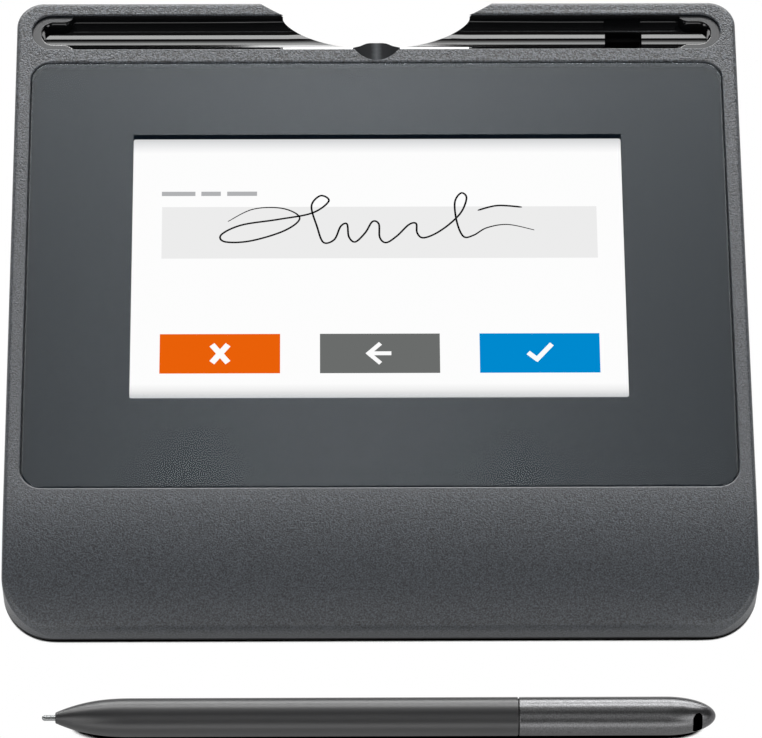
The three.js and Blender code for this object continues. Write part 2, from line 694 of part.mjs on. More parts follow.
// Feet, in the table's frame
const footX = caseHalfX - FOOT_SIDE_INSET;
const footFrontY = caseFrontY + FOOT_FRONT_INSET;
const footRearY = caseRearY - FOOT_REAR_INSET;
const footPlaces = [
  [-footX, footFrontY],
  [footX, footFrontY],
  [-footX, footRearY],
  [footX, footRearY],
];

function footSolid(x, y, gap, low, high) {
  const halfLength = FOOT_LENGTH / 2 + gap;
  const halfWidth = FOOT_WIDTH / 2 + gap;
  const plan = {
    halfX: halfLength,
    front: -halfWidth,
    rear: halfWidth,
    frontRadius: halfWidth,
    rearRadius: halfWidth,
    steps: EDGE_STEPS,
  };
  const rounded = gap === 0 ? FOOT_EDGE : 0;
  const rings = [
    ring(plan, rounded, () => low),
    ring(plan, 0, () => low + rounded),
    ring(plan, 0, () => high),
  ];
  return loft(rounded === 0 ? rings.slice(1) : rings).translate([x, y, 0]);
}

// Rear openings: the round-ended data inlet and the lock slot
const usbTopZ = boardBottomZ - FIT;
const usbMiddleZ = usbTopZ - USB_HEIGHT / 2;
const usbMouthY = caseRearY - USB_SETBACK - FIT;

function usbProfile(grow, front, rear) {
  const halfWidth = USB_WIDTH / 2 + grow;
  const halfHeight = USB_HEIGHT / 2 + grow;
  const shape = roundedRectangle(-halfWidth, halfWidth, -halfHeight, halfHeight, halfHeight);
  const geometry = new THREE.ExtrudeGeometry(shape, {
    depth: rear - front,
    bevelEnabled: false,
    curveSegments: CORNER_STEPS,
  });
  return solidOf(geometry.rotateX(-Math.PI / 2).translate(usbX, front, usbMiddleZ));
}

const lockPlateRearY = caseRearY - LOWER_WALL - FIT;
const lockPlateFrontY = lockPlateRearY - LOCK_PLATE_THICKNESS;
const lockPlateTopZ = lowerTopZ - LIP_ROOT - FIT;
const lockPlateBottomZ = levelZ(lockPlateFrontY, FOOT_PROUD + LOWER_FLOOR) + LOCK_PLATE_CLEARANCE;
const lockMiddleZ = (lockPlateTopZ + lockPlateBottomZ) / 2;

function lockSlot(front, rear) {
  return block(
    [lockX - LOCK_SLOT_WIDTH / 2, front, lockMiddleZ - LOCK_SLOT_HEIGHT / 2],
    [lockX + LOCK_SLOT_WIDTH / 2, rear, lockMiddleZ + LOCK_SLOT_HEIGHT / 2],
  );
}

// Ribs on the case bottom at both ends of the lock slot's plate
function lockRibs(gap, low) {
  return joined([-1, 1].map((side) => {
    const middle = lockX + side * (LOCK_PLATE_WIDTH / 2 + FIT + LOCK_RIB / 2);
    const half = LOCK_RIB / 2 + gap;
    return block(
      [middle - half, lockPlateFrontY - LOCK_RIB - gap, low],
      [middle + half, caseRearY - LOWER_WALL / 2, lockPlateTopZ + gap],
    );
  }));
}

function lockSlotPlate() {
  const plateSolid = block(
    [lockX - LOCK_PLATE_WIDTH / 2, lockPlateFrontY, lockPlateBottomZ],
    [lockX + LOCK_PLATE_WIDTH / 2, lockPlateRearY, lockPlateTopZ],
  );
  return plateSolid.subtract(lockSlot(lockPlateFrontY - OVERRUN, lockPlateRearY + OVERRUN));
}

// Cover glass with chamfered edge, and the tape frame that holds it on the ledge
function coverGlass() {
  return loft([
    ring(glassPlan, GLASS_GAP + GLASS_EDGE_CHAMFER, () => glassBottomZ),
    ring(glassPlan, GLASS_GAP, () => glassBottomZ + GLASS_EDGE_CHAMFER),
    ring(glassPlan, GLASS_GAP, () => glassTopZ - GLASS_EDGE_CHAMFER),
    ring(glassPlan, GLASS_GAP + GLASS_EDGE_CHAMFER, () => glassTopZ),
  ]);
}

function glassTape() {
  const inset = GLASS_GAP + FIT;
  const band = loft([
    ring(glassPlan, inset, () => tapeTopZ - TAPE_THICKNESS),
    ring(glassPlan, inset, () => tapeTopZ),
  ]);
  const opening = roundedRectangle(
    -glassHalfX + inset + TAPE_WIDTH,
    glassHalfX - inset - TAPE_WIDTH,
    glassFrontY + inset + TAPE_WIDTH,
    glassRearY - inset - TAPE_WIDTH,
    GLASS_CORNER_RADIUS,
  );
  return band.subtract(plate(opening, tapeTopZ - TAPE_THICKNESS - OVERRUN, 0));
}

// Pen tray: a rounded trough under the groove's opening, narrowed to a slot between ledges at both ends
const slotHalf = TRAY_SLOT_WIDTH / 2;
const stepX = grooveHalfX - TRAY_STEP_INSET;
const slotEndX = grooveHalfX - TRAY_LEDGE_END;

function troughPlan() {
  const shape = new THREE.Shape();
  const stepEndX = stepX + TRAY_STEP_LENGTH;
  const pull = TRAY_STEP_LENGTH * STEP_PULL_SHARE;
  shape.moveTo(-stepX, -grooveHalf);
  shape.lineTo(stepX, -grooveHalf);
  shape.bezierCurveTo(stepX + pull, -grooveHalf, stepEndX - pull, -slotHalf, stepEndX, -slotHalf);
  shape.lineTo(slotEndX - slotHalf, -slotHalf);
  shape.absarc(slotEndX - slotHalf, 0, slotHalf, -Math.PI / 2, Math.PI / 2);
  shape.lineTo(stepEndX, slotHalf);
  shape.bezierCurveTo(stepEndX - pull, slotHalf, stepX + pull, grooveHalf, stepX, grooveHalf);
  shape.lineTo(-stepX, grooveHalf);
  shape.bezierCurveTo(-stepX - pull, grooveHalf, -stepEndX + pull, slotHalf, -stepEndX, slotHalf);
  shape.lineTo(-slotEndX + slotHalf, slotHalf);
  shape.absarc(-slotEndX + slotHalf, 0, slotHalf, Math.PI / 2, 1.5 * Math.PI);
  shape.lineTo(-stepEndX, -slotHalf);
  shape.bezierCurveTo(-stepEndX + pull, -slotHalf, -stepX - pull, -grooveHalf, -stepX, -grooveHalf);
  return shape;
}

function troughSection() {
  const shape = new THREE.Shape();
  shape.moveTo(-grooveHalf, OVERRUN);
  shape.lineTo(-grooveHalf, -GROOVE_SHOULDER);
  shape.absarc(0, -GROOVE_SHOULDER, grooveHalf, Math.PI, 2 * Math.PI);
  shape.lineTo(grooveHalf, OVERRUN);
  return shape;
}

function penTray() {
  const section = alongX(troughSection(), -grooveHalfX, grooveHalfX, TROUGH_STEPS);
  const plan = plate(troughPlan(), trayBottomZ, OVERRUN, TROUGH_STEPS / 2);
  const trough = section.intersect(plan).translate([0, grooveY, 0]);
  const tether = block(
    [tetherX - tetherHalf, grooveFrontY, trayBottomZ - OVERRUN],
    [tetherX + tetherHalf, grooveFrontY + TETHER_DEPTH, 0],
  );
  const archLength = grooveRearY + OVERRUN - grooveY;
  const arch = new THREE.CylinderGeometry(TETHER_ARCH_RADIUS, TETHER_ARCH_RADIUS, archLength, SCREW_STEPS);
  arch.translate(tetherX, grooveY + archLength / 2, TETHER_ARCH_RADIUS - TETHER_ARCH_DEPTH);
  return trayEnvelope(0)
    .subtract(trough)
    .subtract(tether)
    .subtract(solidOf(arch))
    .subtract(thumbTongue(FIT))
    .subtract(scallop(SCALLOP_RADIUS, trayBottomZ - OVERRUN, OVERRUN));
}

// Display: liquid crystal cell, light guide, LED bar and folded steel tray
function lcdCell() {
  const halfX = lcdHalfX - LCD_SHEET - FIT;
  const halfY = lcdHalfY - LCD_SHEET - FIT;
  return block([-halfX, -halfY, cellTopZ - LCD_CELL_THICKNESS], [halfX, halfY, cellTopZ]);
}

function lightGuide() {
  const halfX = lcdHalfX - LCD_SHEET - FIT;
  const halfY = lcdHalfY - LCD_SHEET - FIT;
  return block(
    [-halfX + LED_BAR_WIDTH + FIT, -halfY, guideTopZ - LIGHT_GUIDE_THICKNESS],
    [halfX, halfY, guideTopZ],
  );
}

// A narrow board along the light guide's left edge with a comb of LED blocks
function ledBar() {
  const left = -lcdHalfX + LCD_SHEET + FIT;
  const halfY = lcdHalfY - LCD_SHEET - FIT;
  const middleZ = guideTopZ - LIGHT_GUIDE_THICKNESS / 2;
  const parts = [
    block([left, -halfY, guideTopZ - LIGHT_GUIDE_THICKNESS], [left + LED_BAR_WIDTH / 2, halfY, guideTopZ]),
  ];
  const count = Math.max(2, Math.floor(halfY / LED_SIZE / 2));
  for (let i = 0; i < count; i++) {
    const y = -halfY + ((i + 1 / 2) / count) * 2 * halfY;
    parts.push(block(
      [left, y - LED_SIZE / 2, middleZ - LED_SIZE / 2],
      [left + LED_BAR_WIDTH, y + LED_SIZE / 2, middleZ + LED_SIZE / 2],
    ));
  }
  return joined(parts);
}

function lcdFrame() {
  const outer = block([-lcdHalfX, -lcdHalfY, lcdFloorZ - LCD_SHEET], [lcdHalfX, lcdHalfY, cellTopZ - FIT]);
  const innerX = lcdHalfX - LCD_SHEET;
  const innerY = lcdHalfY - LCD_SHEET;
  const inner = block([-innerX, -innerY, lcdFloorZ], [innerX, innerY, OVERRUN]);
  const flexHalf = LCD_FLEX_WIDTH / 2 + FIT;
  const flexSlot = block(
    [-flexHalf, lcdHalfY - 2 * LCD_SHEET, lcdFloorZ],
    [flexHalf, lcdHalfY + OVERRUN, OVERRUN],
  );
  return outer.subtract(inner).subtract(flexSlot);
}

// Digitizer: antenna board under the display, and the shield sheet under it,
// both notched for the flat cables
function flexNotch(halfWidth, front, low, high) {
  return block([-halfWidth - FIT, front, low], [halfWidth + FIT, chassisHalfY + OVERRUN, high]);
}

const flexFrontY = lcdHalfY;
const flexRunY = flexFrontY + FIT + FLEX_THICKNESS / 2;

function sensorBoard() {
  const shape = roundedRectangle(-sensorHalfX, sensorHalfX, -sensorHalfY, sensorHalfY, BOARD_CORNER_RADIUS);
  const notch = flexNotch(LCD_FLEX_WIDTH / 2, flexFrontY, sensorTopZ - SENSOR_THICKNESS - OVERRUN, 0);
  return plate(shape, sensorTopZ - SENSOR_THICKNESS, sensorTopZ).subtract(notch);
}

function sensorShield() {
  const shape = roundedRectangle(-sensorHalfX, sensorHalfX, -sensorHalfY, sensorHalfY, BOARD_CORNER_RADIUS);
  const notch = flexNotch(LCD_FLEX_WIDTH / 2, flexFrontY, shieldTopZ - SHIELD_THICKNESS - OVERRUN, 0);
  return plate(shape, shieldTopZ - SHIELD_THICKNESS, shieldTopZ)
    .subtract(notch)
    .subtract(sensorFlexWindow());
}

// The digitizer's flat cable leaves the antenna board through a window in shield and chassis
const sensorFlexY = boardFrontY + (boardRearY - boardFrontY) / 4;
const sensorFlexHalf = SENSOR_FLEX_WIDTH / 2;
const sensorFlexX = -(LCD_FLEX_WIDTH + SENSOR_FLEX_WIDTH) / 2 - FLEX_SPACING;

function sensorFlexWindow() {
  const half = sensorFlexHalf + FIT;
  return block(
    [sensorFlexX - half, sensorFlexY - CONNECTOR_DEPTH, flangeBottomZ - OVERRUN],
    [sensorFlexX + half, sensorFlexY + CONNECTOR_DEPTH, shieldTopZ + FIT / 2],
  );
}

// Pressed steel chassis: holds display and digitizer up against the glass ledge
function chassisPlate() {
  const corner = BOARD_CORNER_RADIUS;
  const sheet = plate(
    roundedRectangle(-chassisHalfX, chassisHalfX, -chassisHalfY, chassisHalfY, corner),
    chassisBottomZ,
    chassisTopZ,
  );
  const ears = chassisScrewPlaces.map(([x, y]) => {
    const inner = Math.sign(x) * (chassisHalfX - CHASSIS_EAR_RADIUS);
    const bridge = block(
      [Math.min(x, inner), y - CHASSIS_EAR_RADIUS, chassisBottomZ],
      [Math.max(x, inner), y + CHASSIS_EAR_RADIUS, chassisTopZ],
    );
    return rod(x, y, chassisBottomZ, chassisTopZ, CHASSIS_EAR_RADIUS).add(bridge);
  });
  const flanges = [-1, 1].map((side) => {
    const outer = side * chassisHalfY;
    const inner = side * (chassisHalfY - CHASSIS_THICKNESS);
    const reachX = chassisHalfX - corner;
    return block(
      [-reachX, Math.min(outer, inner), side > 0 ? flangeBottomZ : chassisBottomZ - CHASSIS_FLANGE / 2],
      [reachX, Math.max(outer, inner), chassisTopZ],
    );
  });
  const holes = chassisScrewPlaces.map(
    ([x, y]) => rod(x, y, chassisBottomZ - OVERRUN, 0, CHASSIS_SCREW_RADIUS + SCREW_PLAY),
  );
  const reliefs = [-1, 0, 1].map((column) => {
    const middle = column * chassisHalfX * RELIEF_SHARES.pitch;
    const half = chassisHalfX * RELIEF_SHARES.halfWidth;
    const front = -chassisHalfY * RELIEF_SHARES.front;
    const rear = -chassisHalfY * RELIEF_SHARES.rear;
    const shape = roundedRectangle(middle - half, middle + half, front, rear, 2 * corner);
    return plate(shape, chassisBottomZ - OVERRUN, 0);
  });
  const notch = flexNotch(LCD_FLEX_WIDTH / 2, flexFrontY - FLEX_BEND, flangeBottomZ - OVERRUN, 0);
  return joined([sheet, ...ears, ...flanges])
    .subtract(joined([...holes, ...reliefs]))
    .subtract(notch)
    .subtract(sensorFlexWindow());
}

// Main board under the chassis, its rear edge cut clear of the scallop's wall, tether well and lock ribs
function mainBoard() {
  const shape = roundedRectangle(
    -BOARD_HALF_WIDTH, BOARD_HALF_WIDTH, boardFrontY, boardRearY, BOARD_CORNER_RADIUS,
  );
  const holes = boardScrewPlaces.map(
    ([x, y]) => rod(x, y, boardBottomZ - OVERRUN, 0, BOARD_SCREW_RADIUS + SCREW_PLAY),
  );
  return plate(shape, boardBottomZ, boardTopZ)
    .subtract(scallop(scallopWallRadius + 2 * FIT, boardBottomZ - OVERRUN, 0))
    .subtract(tetherWellBlock(FIT, boardBottomZ - OVERRUN))
    .subtract(lockRibs(FIT, boardBottomZ - OVERRUN))
    .subtract(joined(holes));
}

// A square part on the main board's top
function boardPart(x, y, width, depth, height) {
  const low = boardTopZ + FIT;
  return block([x - width / 2, y - depth / 2, low], [x + width / 2, y + depth / 2, low + height]);
}

// A flat cable: a centre line in y and z with rounded bends, given its thickness, carried along x
function flatCable(points, left, right) {
  const path = new THREE.Path();
  path.moveTo(...points[0]);
  for (let i = 1; i + 1 < points.length; i++) {
    const corner = new THREE.Vector2(...points[i]);
    const towards = (point) => new THREE.Vector2(...point).sub(corner).setLength(FLEX_BEND).add(corner);
    const before = towards(points[i - 1]);
    const after = towards(points[i + 1]);
    path.lineTo(before.x, before.y);
    path.quadraticCurveTo(corner.x, corner.y, after.x, after.y);
  }
  path.lineTo(...points[points.length - 1]);
  const line = path.getPoints(HIDDEN_STEPS);
  const spread = (side) => line.map((point, i) => {
    const from = line[Math.max(0, i - 1)];
    const to = line[Math.min(line.length - 1, i + 1)];
    const along = to.clone().sub(from).normalize();
    return new THREE.Vector2(
      point.x - side * along.y * FLEX_THICKNESS / 2,
      point.y + side * along.x * FLEX_THICKNESS / 2,
    );
  });
  return alongX(new THREE.Shape([...spread(-1), ...spread(1).reverse()]), left, right);
}

const connectorTopZ = boardTopZ + FIT + CONNECTOR_HEIGHT;
const cableEndZ = connectorTopZ + FIT + FLEX_THICKNESS / 2;
const lcdConnectorY = lcdHalfY - 2 * CONNECTOR_DEPTH;

function lcdFlex() {
  const startZ = cellTopZ - LCD_CELL_THICKNESS - FIT / 2;
  const half = LCD_FLEX_WIDTH / 2;
  return flatCable(
    [
      [lcdHalfY - LCD_SHEET - FIT - CONNECTOR_DEPTH / 4, startZ],
      [flexRunY, startZ],
      [flexRunY, cableEndZ],
      [lcdConnectorY - CONNECTOR_DEPTH / 4, cableEndZ],
    ],
    -half,
    half,
  );
}

function sensorFlex() {
  const startZ = shieldTopZ - FIT / 2;
  const rearY = sensorFlexY + CONNECTOR_DEPTH - FIT - FLEX_THICKNESS;
  return flatCable(
    [
      [sensorFlexY - CONNECTOR_DEPTH / 2, startZ],
      [rearY, startZ],
      [rearY, cableEndZ],
      [sensorFlexY - CONNECTOR_DEPTH / 4, cableEndZ],
    ],
    sensorFlexX - sensorFlexHalf,
    sensorFlexX + sensorFlexHalf,
  );
}

function usbReceptacle() {
  const shell = usbProfile(0, usbMouthY - USB_DEPTH, usbMouthY);
  const bore = usbProfile(-USB_WALL, usbMouthY - USB_DEPTH + USB_WALL, usbMouthY + OVERRUN);
  return shell.subtract(bore);
}

function usbTongue() {
  const halfWidth = USB_WIDTH / 2 - USB_WALL - USB_TONGUE_MARGIN;
  const halfHeight = USB_TONGUE_HEIGHT / 2;
  const rootY = usbMouthY - USB_DEPTH + USB_WALL + FIT;
  const root = usbProfile(-USB_WALL - FIT, rootY, rootY + USB_SETBACK);
  const blade = block(
    [usbX - halfWidth, rootY, usbMiddleZ - halfHeight],
    [usbX + halfWidth, usbMouthY - USB_SETBACK, usbMiddleZ + halfHeight],
  );
  return root.add(blade);
}

// A pan-head screw standing on its head or hanging from it, with a six-sided drive
function screw(x, y, headZ, direction, sizes) {
  const { radius, length, headRadius, headHeight } = sizes;
  const shaftEnd = headZ + direction * length;
  const headEnd = headZ - direction * headHeight;
  const driveEnd = headEnd + direction * DRIVE_DEPTH;
  const shaft = rod(x, y, Math.min(headZ, shaftEnd), Math.max(headZ, shaftEnd), radius);
  const head = rod(x, y, Math.min(headZ, headEnd), Math.max(headZ, headEnd), headRadius);
  const overrunEnd = headEnd - direction * OVERRUN;
  const driveLow = Math.min(overrunEnd, driveEnd);
  const driveHigh = Math.max(overrunEnd, driveEnd);
  const drive = rod(x, y, driveLow, driveHigh, DRIVE_RADIUS, DRIVE_SIDES);
  return shaft.add(head).subtract(drive);
}

// Pen parts, in the pen's frame: the axis is +X and the nib's tip is the origin
const penRadius = PEN_DIAMETER / 2;
const penBoreRadius = penRadius - PEN_WALL;
const ferriteEnd = FERRITE_START + FERRITE_LENGTH;
const sensorCanStart = ferriteEnd + FIT;
const carrierStart = sensorCanStart + SENSOR_CAN_LENGTH + FIT;
const spigotStart = PEN_JOINT_AT + PEN_JOINT_GAP - PEN_SPIGOT_LENGTH;
const carrierEnd = spigotStart - CARRIER_END_GAP;
const penBoardStart = carrierStart + PEN_BOARD_INSET;
const penBoardEnd = carrierEnd - PEN_BOARD_INSET;

// A turned solid from points of [place along the axis, radius]
function turned(points, steps = PEN_STEPS) {
  const profile = points.map(([along, radius]) => new THREE.Vector2(radius, along));
  const geometry = new THREE.LatheGeometry(profile, steps);
  return solidOf(geometry.rotateZ(-Math.PI / 2));
}

// Radius of the barrel's tapered front: full at the taper's end, the tip's radius at its start
function taperRadius(share) {
  return PEN_TIP_RADIUS + (penRadius - PEN_TIP_RADIUS) * (1 - Math.pow(1 - share, TAPER_POWER));
}

function frontBarrel() {
  const taper = PEN_TAPER_LENGTH - NIB_PROTRUSION;
  const steps = PALM_STEPS;
  const outside = [];
  for (let i = 0; i <= steps; i++) {
    outside.push([NIB_PROTRUSION + (i / steps) * taper, taperRadius(i / steps)]);
  }
  outside.push([PEN_JOINT_AT, penRadius]);
  const body = turned([[NIB_PROTRUSION, 0], ...outside, [PEN_JOINT_AT, 0]]);
  const tipBore = NIB_RADIUS + NIB_BORE_PLAY;
  const wideStart = FERRITE_START - FIT;
  const wide = FERRITE_RADIUS + FIT;
  const coilStart = FERRITE_START + COIL_INSET - FIT;
  const bore = turned([
    [NIB_PROTRUSION - OVERRUN, 0],
    [NIB_PROTRUSION - OVERRUN, tipBore],
    [wideStart, tipBore],
    [wideStart, wide],
    [coilStart, wide],
    [coilStart, wide + COIL_THICKNESS + FIT],
    [ferriteEnd, wide + COIL_THICKNESS + FIT],
    [ferriteEnd, penBoreRadius],
    [PEN_JOINT_AT + OVERRUN, penBoreRadius],
    [PEN_JOINT_AT + OVERRUN, 0],
  ]);
  return body.subtract(bore);
}

function rearCap() {
  const start = PEN_JOINT_AT + PEN_JOINT_GAP;
  const steps = CORNER_STEPS + 2;
  const points = [[start, 0], [start, penRadius]];
  for (let i = 0; i < steps; i++) {
    const angle = (i / steps) * Math.PI / 2;
    points.push([PEN_LENGTH - PEN_END_LENGTH * (1 - Math.sin(angle)), penRadius * Math.cos(angle)]);
  }
  points.push([PEN_LENGTH, 0]);
  const shell = turned(points);
  const spigot = turned([
    [spigotStart, 0],
    [spigotStart, penBoreRadius - FIT],
    [start + PEN_WALL, penBoreRadius - FIT],
    [start + PEN_WALL, 0],
  ]);
  const bore = turned([
    [spigotStart - OVERRUN, 0],
    [spigotStart - OVERRUN, penBoreRadius - FIT - PEN_WALL],
    [PEN_LENGTH - PEN_END_LENGTH, penBoreRadius - FIT - PEN_WALL],
    [PEN_LENGTH - PEN_END_LENGTH, 0],
  ]);
  const half = EYELET_WIDTH / 2;
  const middle = PEN_LENGTH - EYELET_INSET;
  const shape = roundedRectangle(
    middle - half, middle + half, -EYELET_LENGTH / 2, EYELET_LENGTH / 2, half - WELD,
  );
  const hole = new THREE.ExtrudeGeometry(shape, {
    depth: 2 * PEN_DIAMETER,
    bevelEnabled: false,
    curveSegments: CORNER_STEPS,
  });
  hole.translate(0, 0, -PEN_DIAMETER);
  hole.rotateX(Math.PI / 2 - THREE.MathUtils.degToRad(EYELET_TURN_DEGREES));
  return shell.add(spigot).subtract(bore).subtract(solidOf(hole));
}

function penNib() {
  const points = [[0, 0]];
  for (let i = 1; i <= EDGE_STEPS; i++) {
    const angle = (i / EDGE_STEPS) * Math.PI / 2;
    points.push([NIB_RADIUS * (1 - Math.cos(angle)), NIB_RADIUS * Math.sin(angle)]);
  }
  points.push([NIB_LENGTH, NIB_RADIUS], [NIB_LENGTH, 0]);
  return turned(points, SCREW_STEPS);
}

function tube(start, end, inner, outer, steps = PEN_INSIDE_STEPS) {
  return turned([[start, inner], [start, outer], [end, outer], [end, inner], [start, inner]], steps);
}

function ferriteCore() {
  return tube(FERRITE_START, ferriteEnd, NIB_RADIUS + NIB_BORE_PLAY, FERRITE_RADIUS);
}

function penCoil() {
  const start = FERRITE_START + COIL_INSET;
  return tube(start, ferriteEnd - FIT, FERRITE_RADIUS + FIT, FERRITE_RADIUS + FIT + COIL_THICKNESS);
}

// The pressure sensor's can, with a blind hole for the nib's end and its travel
function pressureSensor() {
  const can = turned([
    [sensorCanStart, 0],
    [sensorCanStart, penBoreRadius - FIT],
    [sensorCanStart + SENSOR_CAN_LENGTH, penBoreRadius - FIT],
    [sensorCanStart + SENSOR_CAN_LENGTH, 0],
  ]);
  const hole = turned([
    [sensorCanStart - OVERRUN, 0],
    [sensorCanStart - OVERRUN, NIB_RADIUS + NIB_BORE_PLAY],
    [NIB_LENGTH + NIB_TRAVEL + FIT, NIB_RADIUS + NIB_BORE_PLAY],
    [NIB_LENGTH + NIB_TRAVEL + FIT, 0],
  ]);
  return can.subtract(hole);
}

// Inner carrier: a rod with a long flat on which the tuning board lies
function penCarrier() {
  const radius = penBoreRadius - FIT;
  const body = turned([[carrierStart, 0], [carrierStart, radius], [carrierEnd, radius], [carrierEnd, 0]]);
  const flat = block(
    [penBoardStart - FIT, -penRadius, -CARRIER_FLAT],
    [penBoardEnd + FIT, penRadius, penRadius],
  );
  return body.subtract(flat);
}

function penBoard() {
  const low = FIT - CARRIER_FLAT;
  return block(
    [penBoardStart, -PEN_BOARD_WIDTH / 2, low],
    [penBoardEnd, PEN_BOARD_WIDTH / 2, low + PEN_BOARD_THICKNESS],
  );
}

// Finishes
const finish = (color, roughness, metalness = 0) => ({ color, roughness, metalness });
const finishes = {
  grain: finish(0x6b6f73, 0.62),
  lower: finish(0x2b2d30, 0.7),
  glass: finish(0x4c5155, 0.12),
  tape: finish(0x1a1a1a, 0.9),
  gloss: finish(0x070809, 0.08),
  display: finish(0xf4f5f6, 0.35),
  guide: finish(0xe8ecee, 0.2),
  steel: finish(0xa6aaad, 0.35, 1),
  board: finish(0x1f5a3a, 0.5),
  chip: finish(0x17181a, 0.5),
  flex: finish(0xb9772c, 0.45),
  ferrite: finish(0x3b3b3e, 0.6),
  copper: finish(0xb56a3a, 0.35, 1),
  connector: finish(0xe9e4d6, 0.55),
  rubber: finish(0x151515, 0.95),
  barrel: finish(0x404143, 0.45),
  cap: finish(0x6e6f71, 0.5, 0.4),
  nib: finish(0x8a8a88, 0.4),
};

function piece(parent, name, solid, look) {
  const mesh = new THREE.Mesh(geometryOf(solid), new THREE.MeshStandardMaterial(finishes[look]));
  mesh.name = name;
  parent.add(mesh);
}

// The set: the pad on its feet, and the pen on the table in front of it
const set = new THREE.Group();
const standing = new THREE.Group();
const pad = new THREE.Group();
pad.rotation.x = tilt;
pad.position.z = originHeight;
standing.add(pad);
set.add(standing);

piece(pad, 'upper_case', upperCase(), 'grain');
piece(pad, 'lower_case', lowerCase(), 'lower');
piece(pad, 'cover_glass', coverGlass(), 'glass');
piece(pad, 'glass_tape', glassTape(), 'tape');
piece(pad, 'pen_tray', penTray(), 'gloss');
piece(pad, 'lcd_cell', lcdCell(), 'display');
piece(pad, 'lcd_light_guide', lightGuide(), 'guide');
piece(pad, 'lcd_led_bar', ledBar(), 'connector');
piece(pad, 'lcd_frame', lcdFrame(), 'steel');
piece(pad, 'lcd_flex', lcdFlex(), 'flex');
piece(pad, 'sensor_board', sensorBoard(), 'board');
piece(pad, 'sensor_shield', sensorShield(), 'ferrite');
piece(pad, 'sensor_flex', sensorFlex(), 'flex');
piece(pad, 'chassis_plate', chassisPlate(), 'steel');
piece(pad, 'main_board', mainBoard(), 'board');
piece(pad, 'usb_receptacle', usbReceptacle(), 'steel');
piece(pad, 'usb_tongue', usbTongue(), 'chip');
piece(pad, 'lock_slot_plate', lockSlotPlate(), 'steel');

// Parts on the main board: controller and memory stand in a row beside the display's connector,
// the crystal behind the controller, and the pen amplifier at shares of the board's sizes
const onBoard = (x, share) => [x, boardFrontY + share * BOARD_DEPTH];
const lcdConnectorWidth = LCD_FLEX_WIDTH + CONNECTOR_DEPTH / 2;
const controllerX = (lcdConnectorWidth + CONTROLLER_SIZE) / 2 + PART_SPACING;
const memoryX = controllerX + (CONTROLLER_SIZE + MEMORY_WIDTH) / 2 + PART_SPACING;
const [, controllerY] = onBoard(controllerX, PART_SHARES.controller);
const crystalY = controllerY + CONTROLLER_SIZE / 2 + PART_SPACING + CRYSTAL_WIDTH;
const [amplifierShareX, amplifierShareY] = PART_SHARES.amplifier;
const boardParts = [
  [
    'controller_chip',
    [controllerX, controllerY],
    [CONTROLLER_SIZE, CONTROLLER_SIZE, CHIP_HEIGHT],
    'chip',
  ],
  [
    'memory_chip',
    onBoard(memoryX, PART_SHARES.memory),
    [MEMORY_WIDTH, CONTROLLER_SIZE, CHIP_HEIGHT],
    'chip',
  ],
  [
    'pen_amplifier_chip',
    onBoard(amplifierShareX * BOARD_HALF_WIDTH, amplifierShareY),
    [AMPLIFIER_SIZE, AMPLIFIER_SIZE, CHIP_HEIGHT],
    'chip',
  ],
  [
    'clock_crystal',
    [controllerX, crystalY],
    [CRYSTAL_WIDTH, 2 * CRYSTAL_WIDTH, CHIP_HEIGHT],
    'steel',
  ],
  [
    'lcd_connector',
    [0, lcdConnectorY],
    [lcdConnectorWidth, CONNECTOR_DEPTH, CONNECTOR_HEIGHT],
    'connector',
  ],
  [
    'sensor_connector',
    [sensorFlexX, sensorFlexY - CONNECTOR_DEPTH / 4],
    [SENSOR_FLEX_WIDTH - CONNECTOR_DEPTH / 2, CONNECTOR_DEPTH, CONNECTOR_HEIGHT],
    'connector',
  ],
];
for (const [name, [x, y], size, look] of boardParts) {
  piece(pad, name, boardPart(x, y, ...size), look);
}

const caseScrewSizes = {
  radius: CASE_SCREW_RADIUS,
  length: CASE_SCREW_LENGTH,
  headRadius: CASE_SCREW_HEAD_RADIUS,
  headHeight: CASE_SCREW_HEAD_HEIGHT,
};
const chassisScrewSizes = {
  radius: CHASSIS_SCREW_RADIUS,
  length: CHASSIS_SCREW_LENGTH,
  headRadius: CHASSIS_SCREW_HEAD_RADIUS,
  headHeight: CHASSIS_SCREW_HEAD_HEIGHT,
};
const boardScrewSizes = {
  radius: BOARD_SCREW_RADIUS,
  length: BOARD_SCREW_LENGTH,
  headRadius: BOARD_SCREW_HEAD_RADIUS,
  headHeight: BOARD_SCREW_HEAD_HEIGHT,
};
caseScrewPlaces.forEach(([x, y], i) => {
  piece(pad, `case_screw_${i + 1}`, screw(x, y, screwSeatZ - FIT, 1, caseScrewSizes), 'steel');
});
chassisScrewPlaces.forEach(([x, y], i) => {
  piece(pad, `chassis_screw_${i + 1}`, screw(x, y, chassisBottomZ - FIT, 1, chassisScrewSizes), 'steel');
});
boardScrewPlaces.forEach(([x, y], i) => {
  piece(pad, `board_screw_${i + 1}`, screw(x, y, boardTopZ + FIT, -1, boardScrewSizes), 'steel');
});
const footNames = ['foot_front_left', 'foot_front_right', 'foot_rear_left', 'foot_rear_right'];
footPlaces.forEach(([x, y], i) => {
  piece(standing, footNames[i], footSolid(x, y, 0, 0, FOOT_PROUD + FOOT_RECESS - FIT), 'rubber');
});

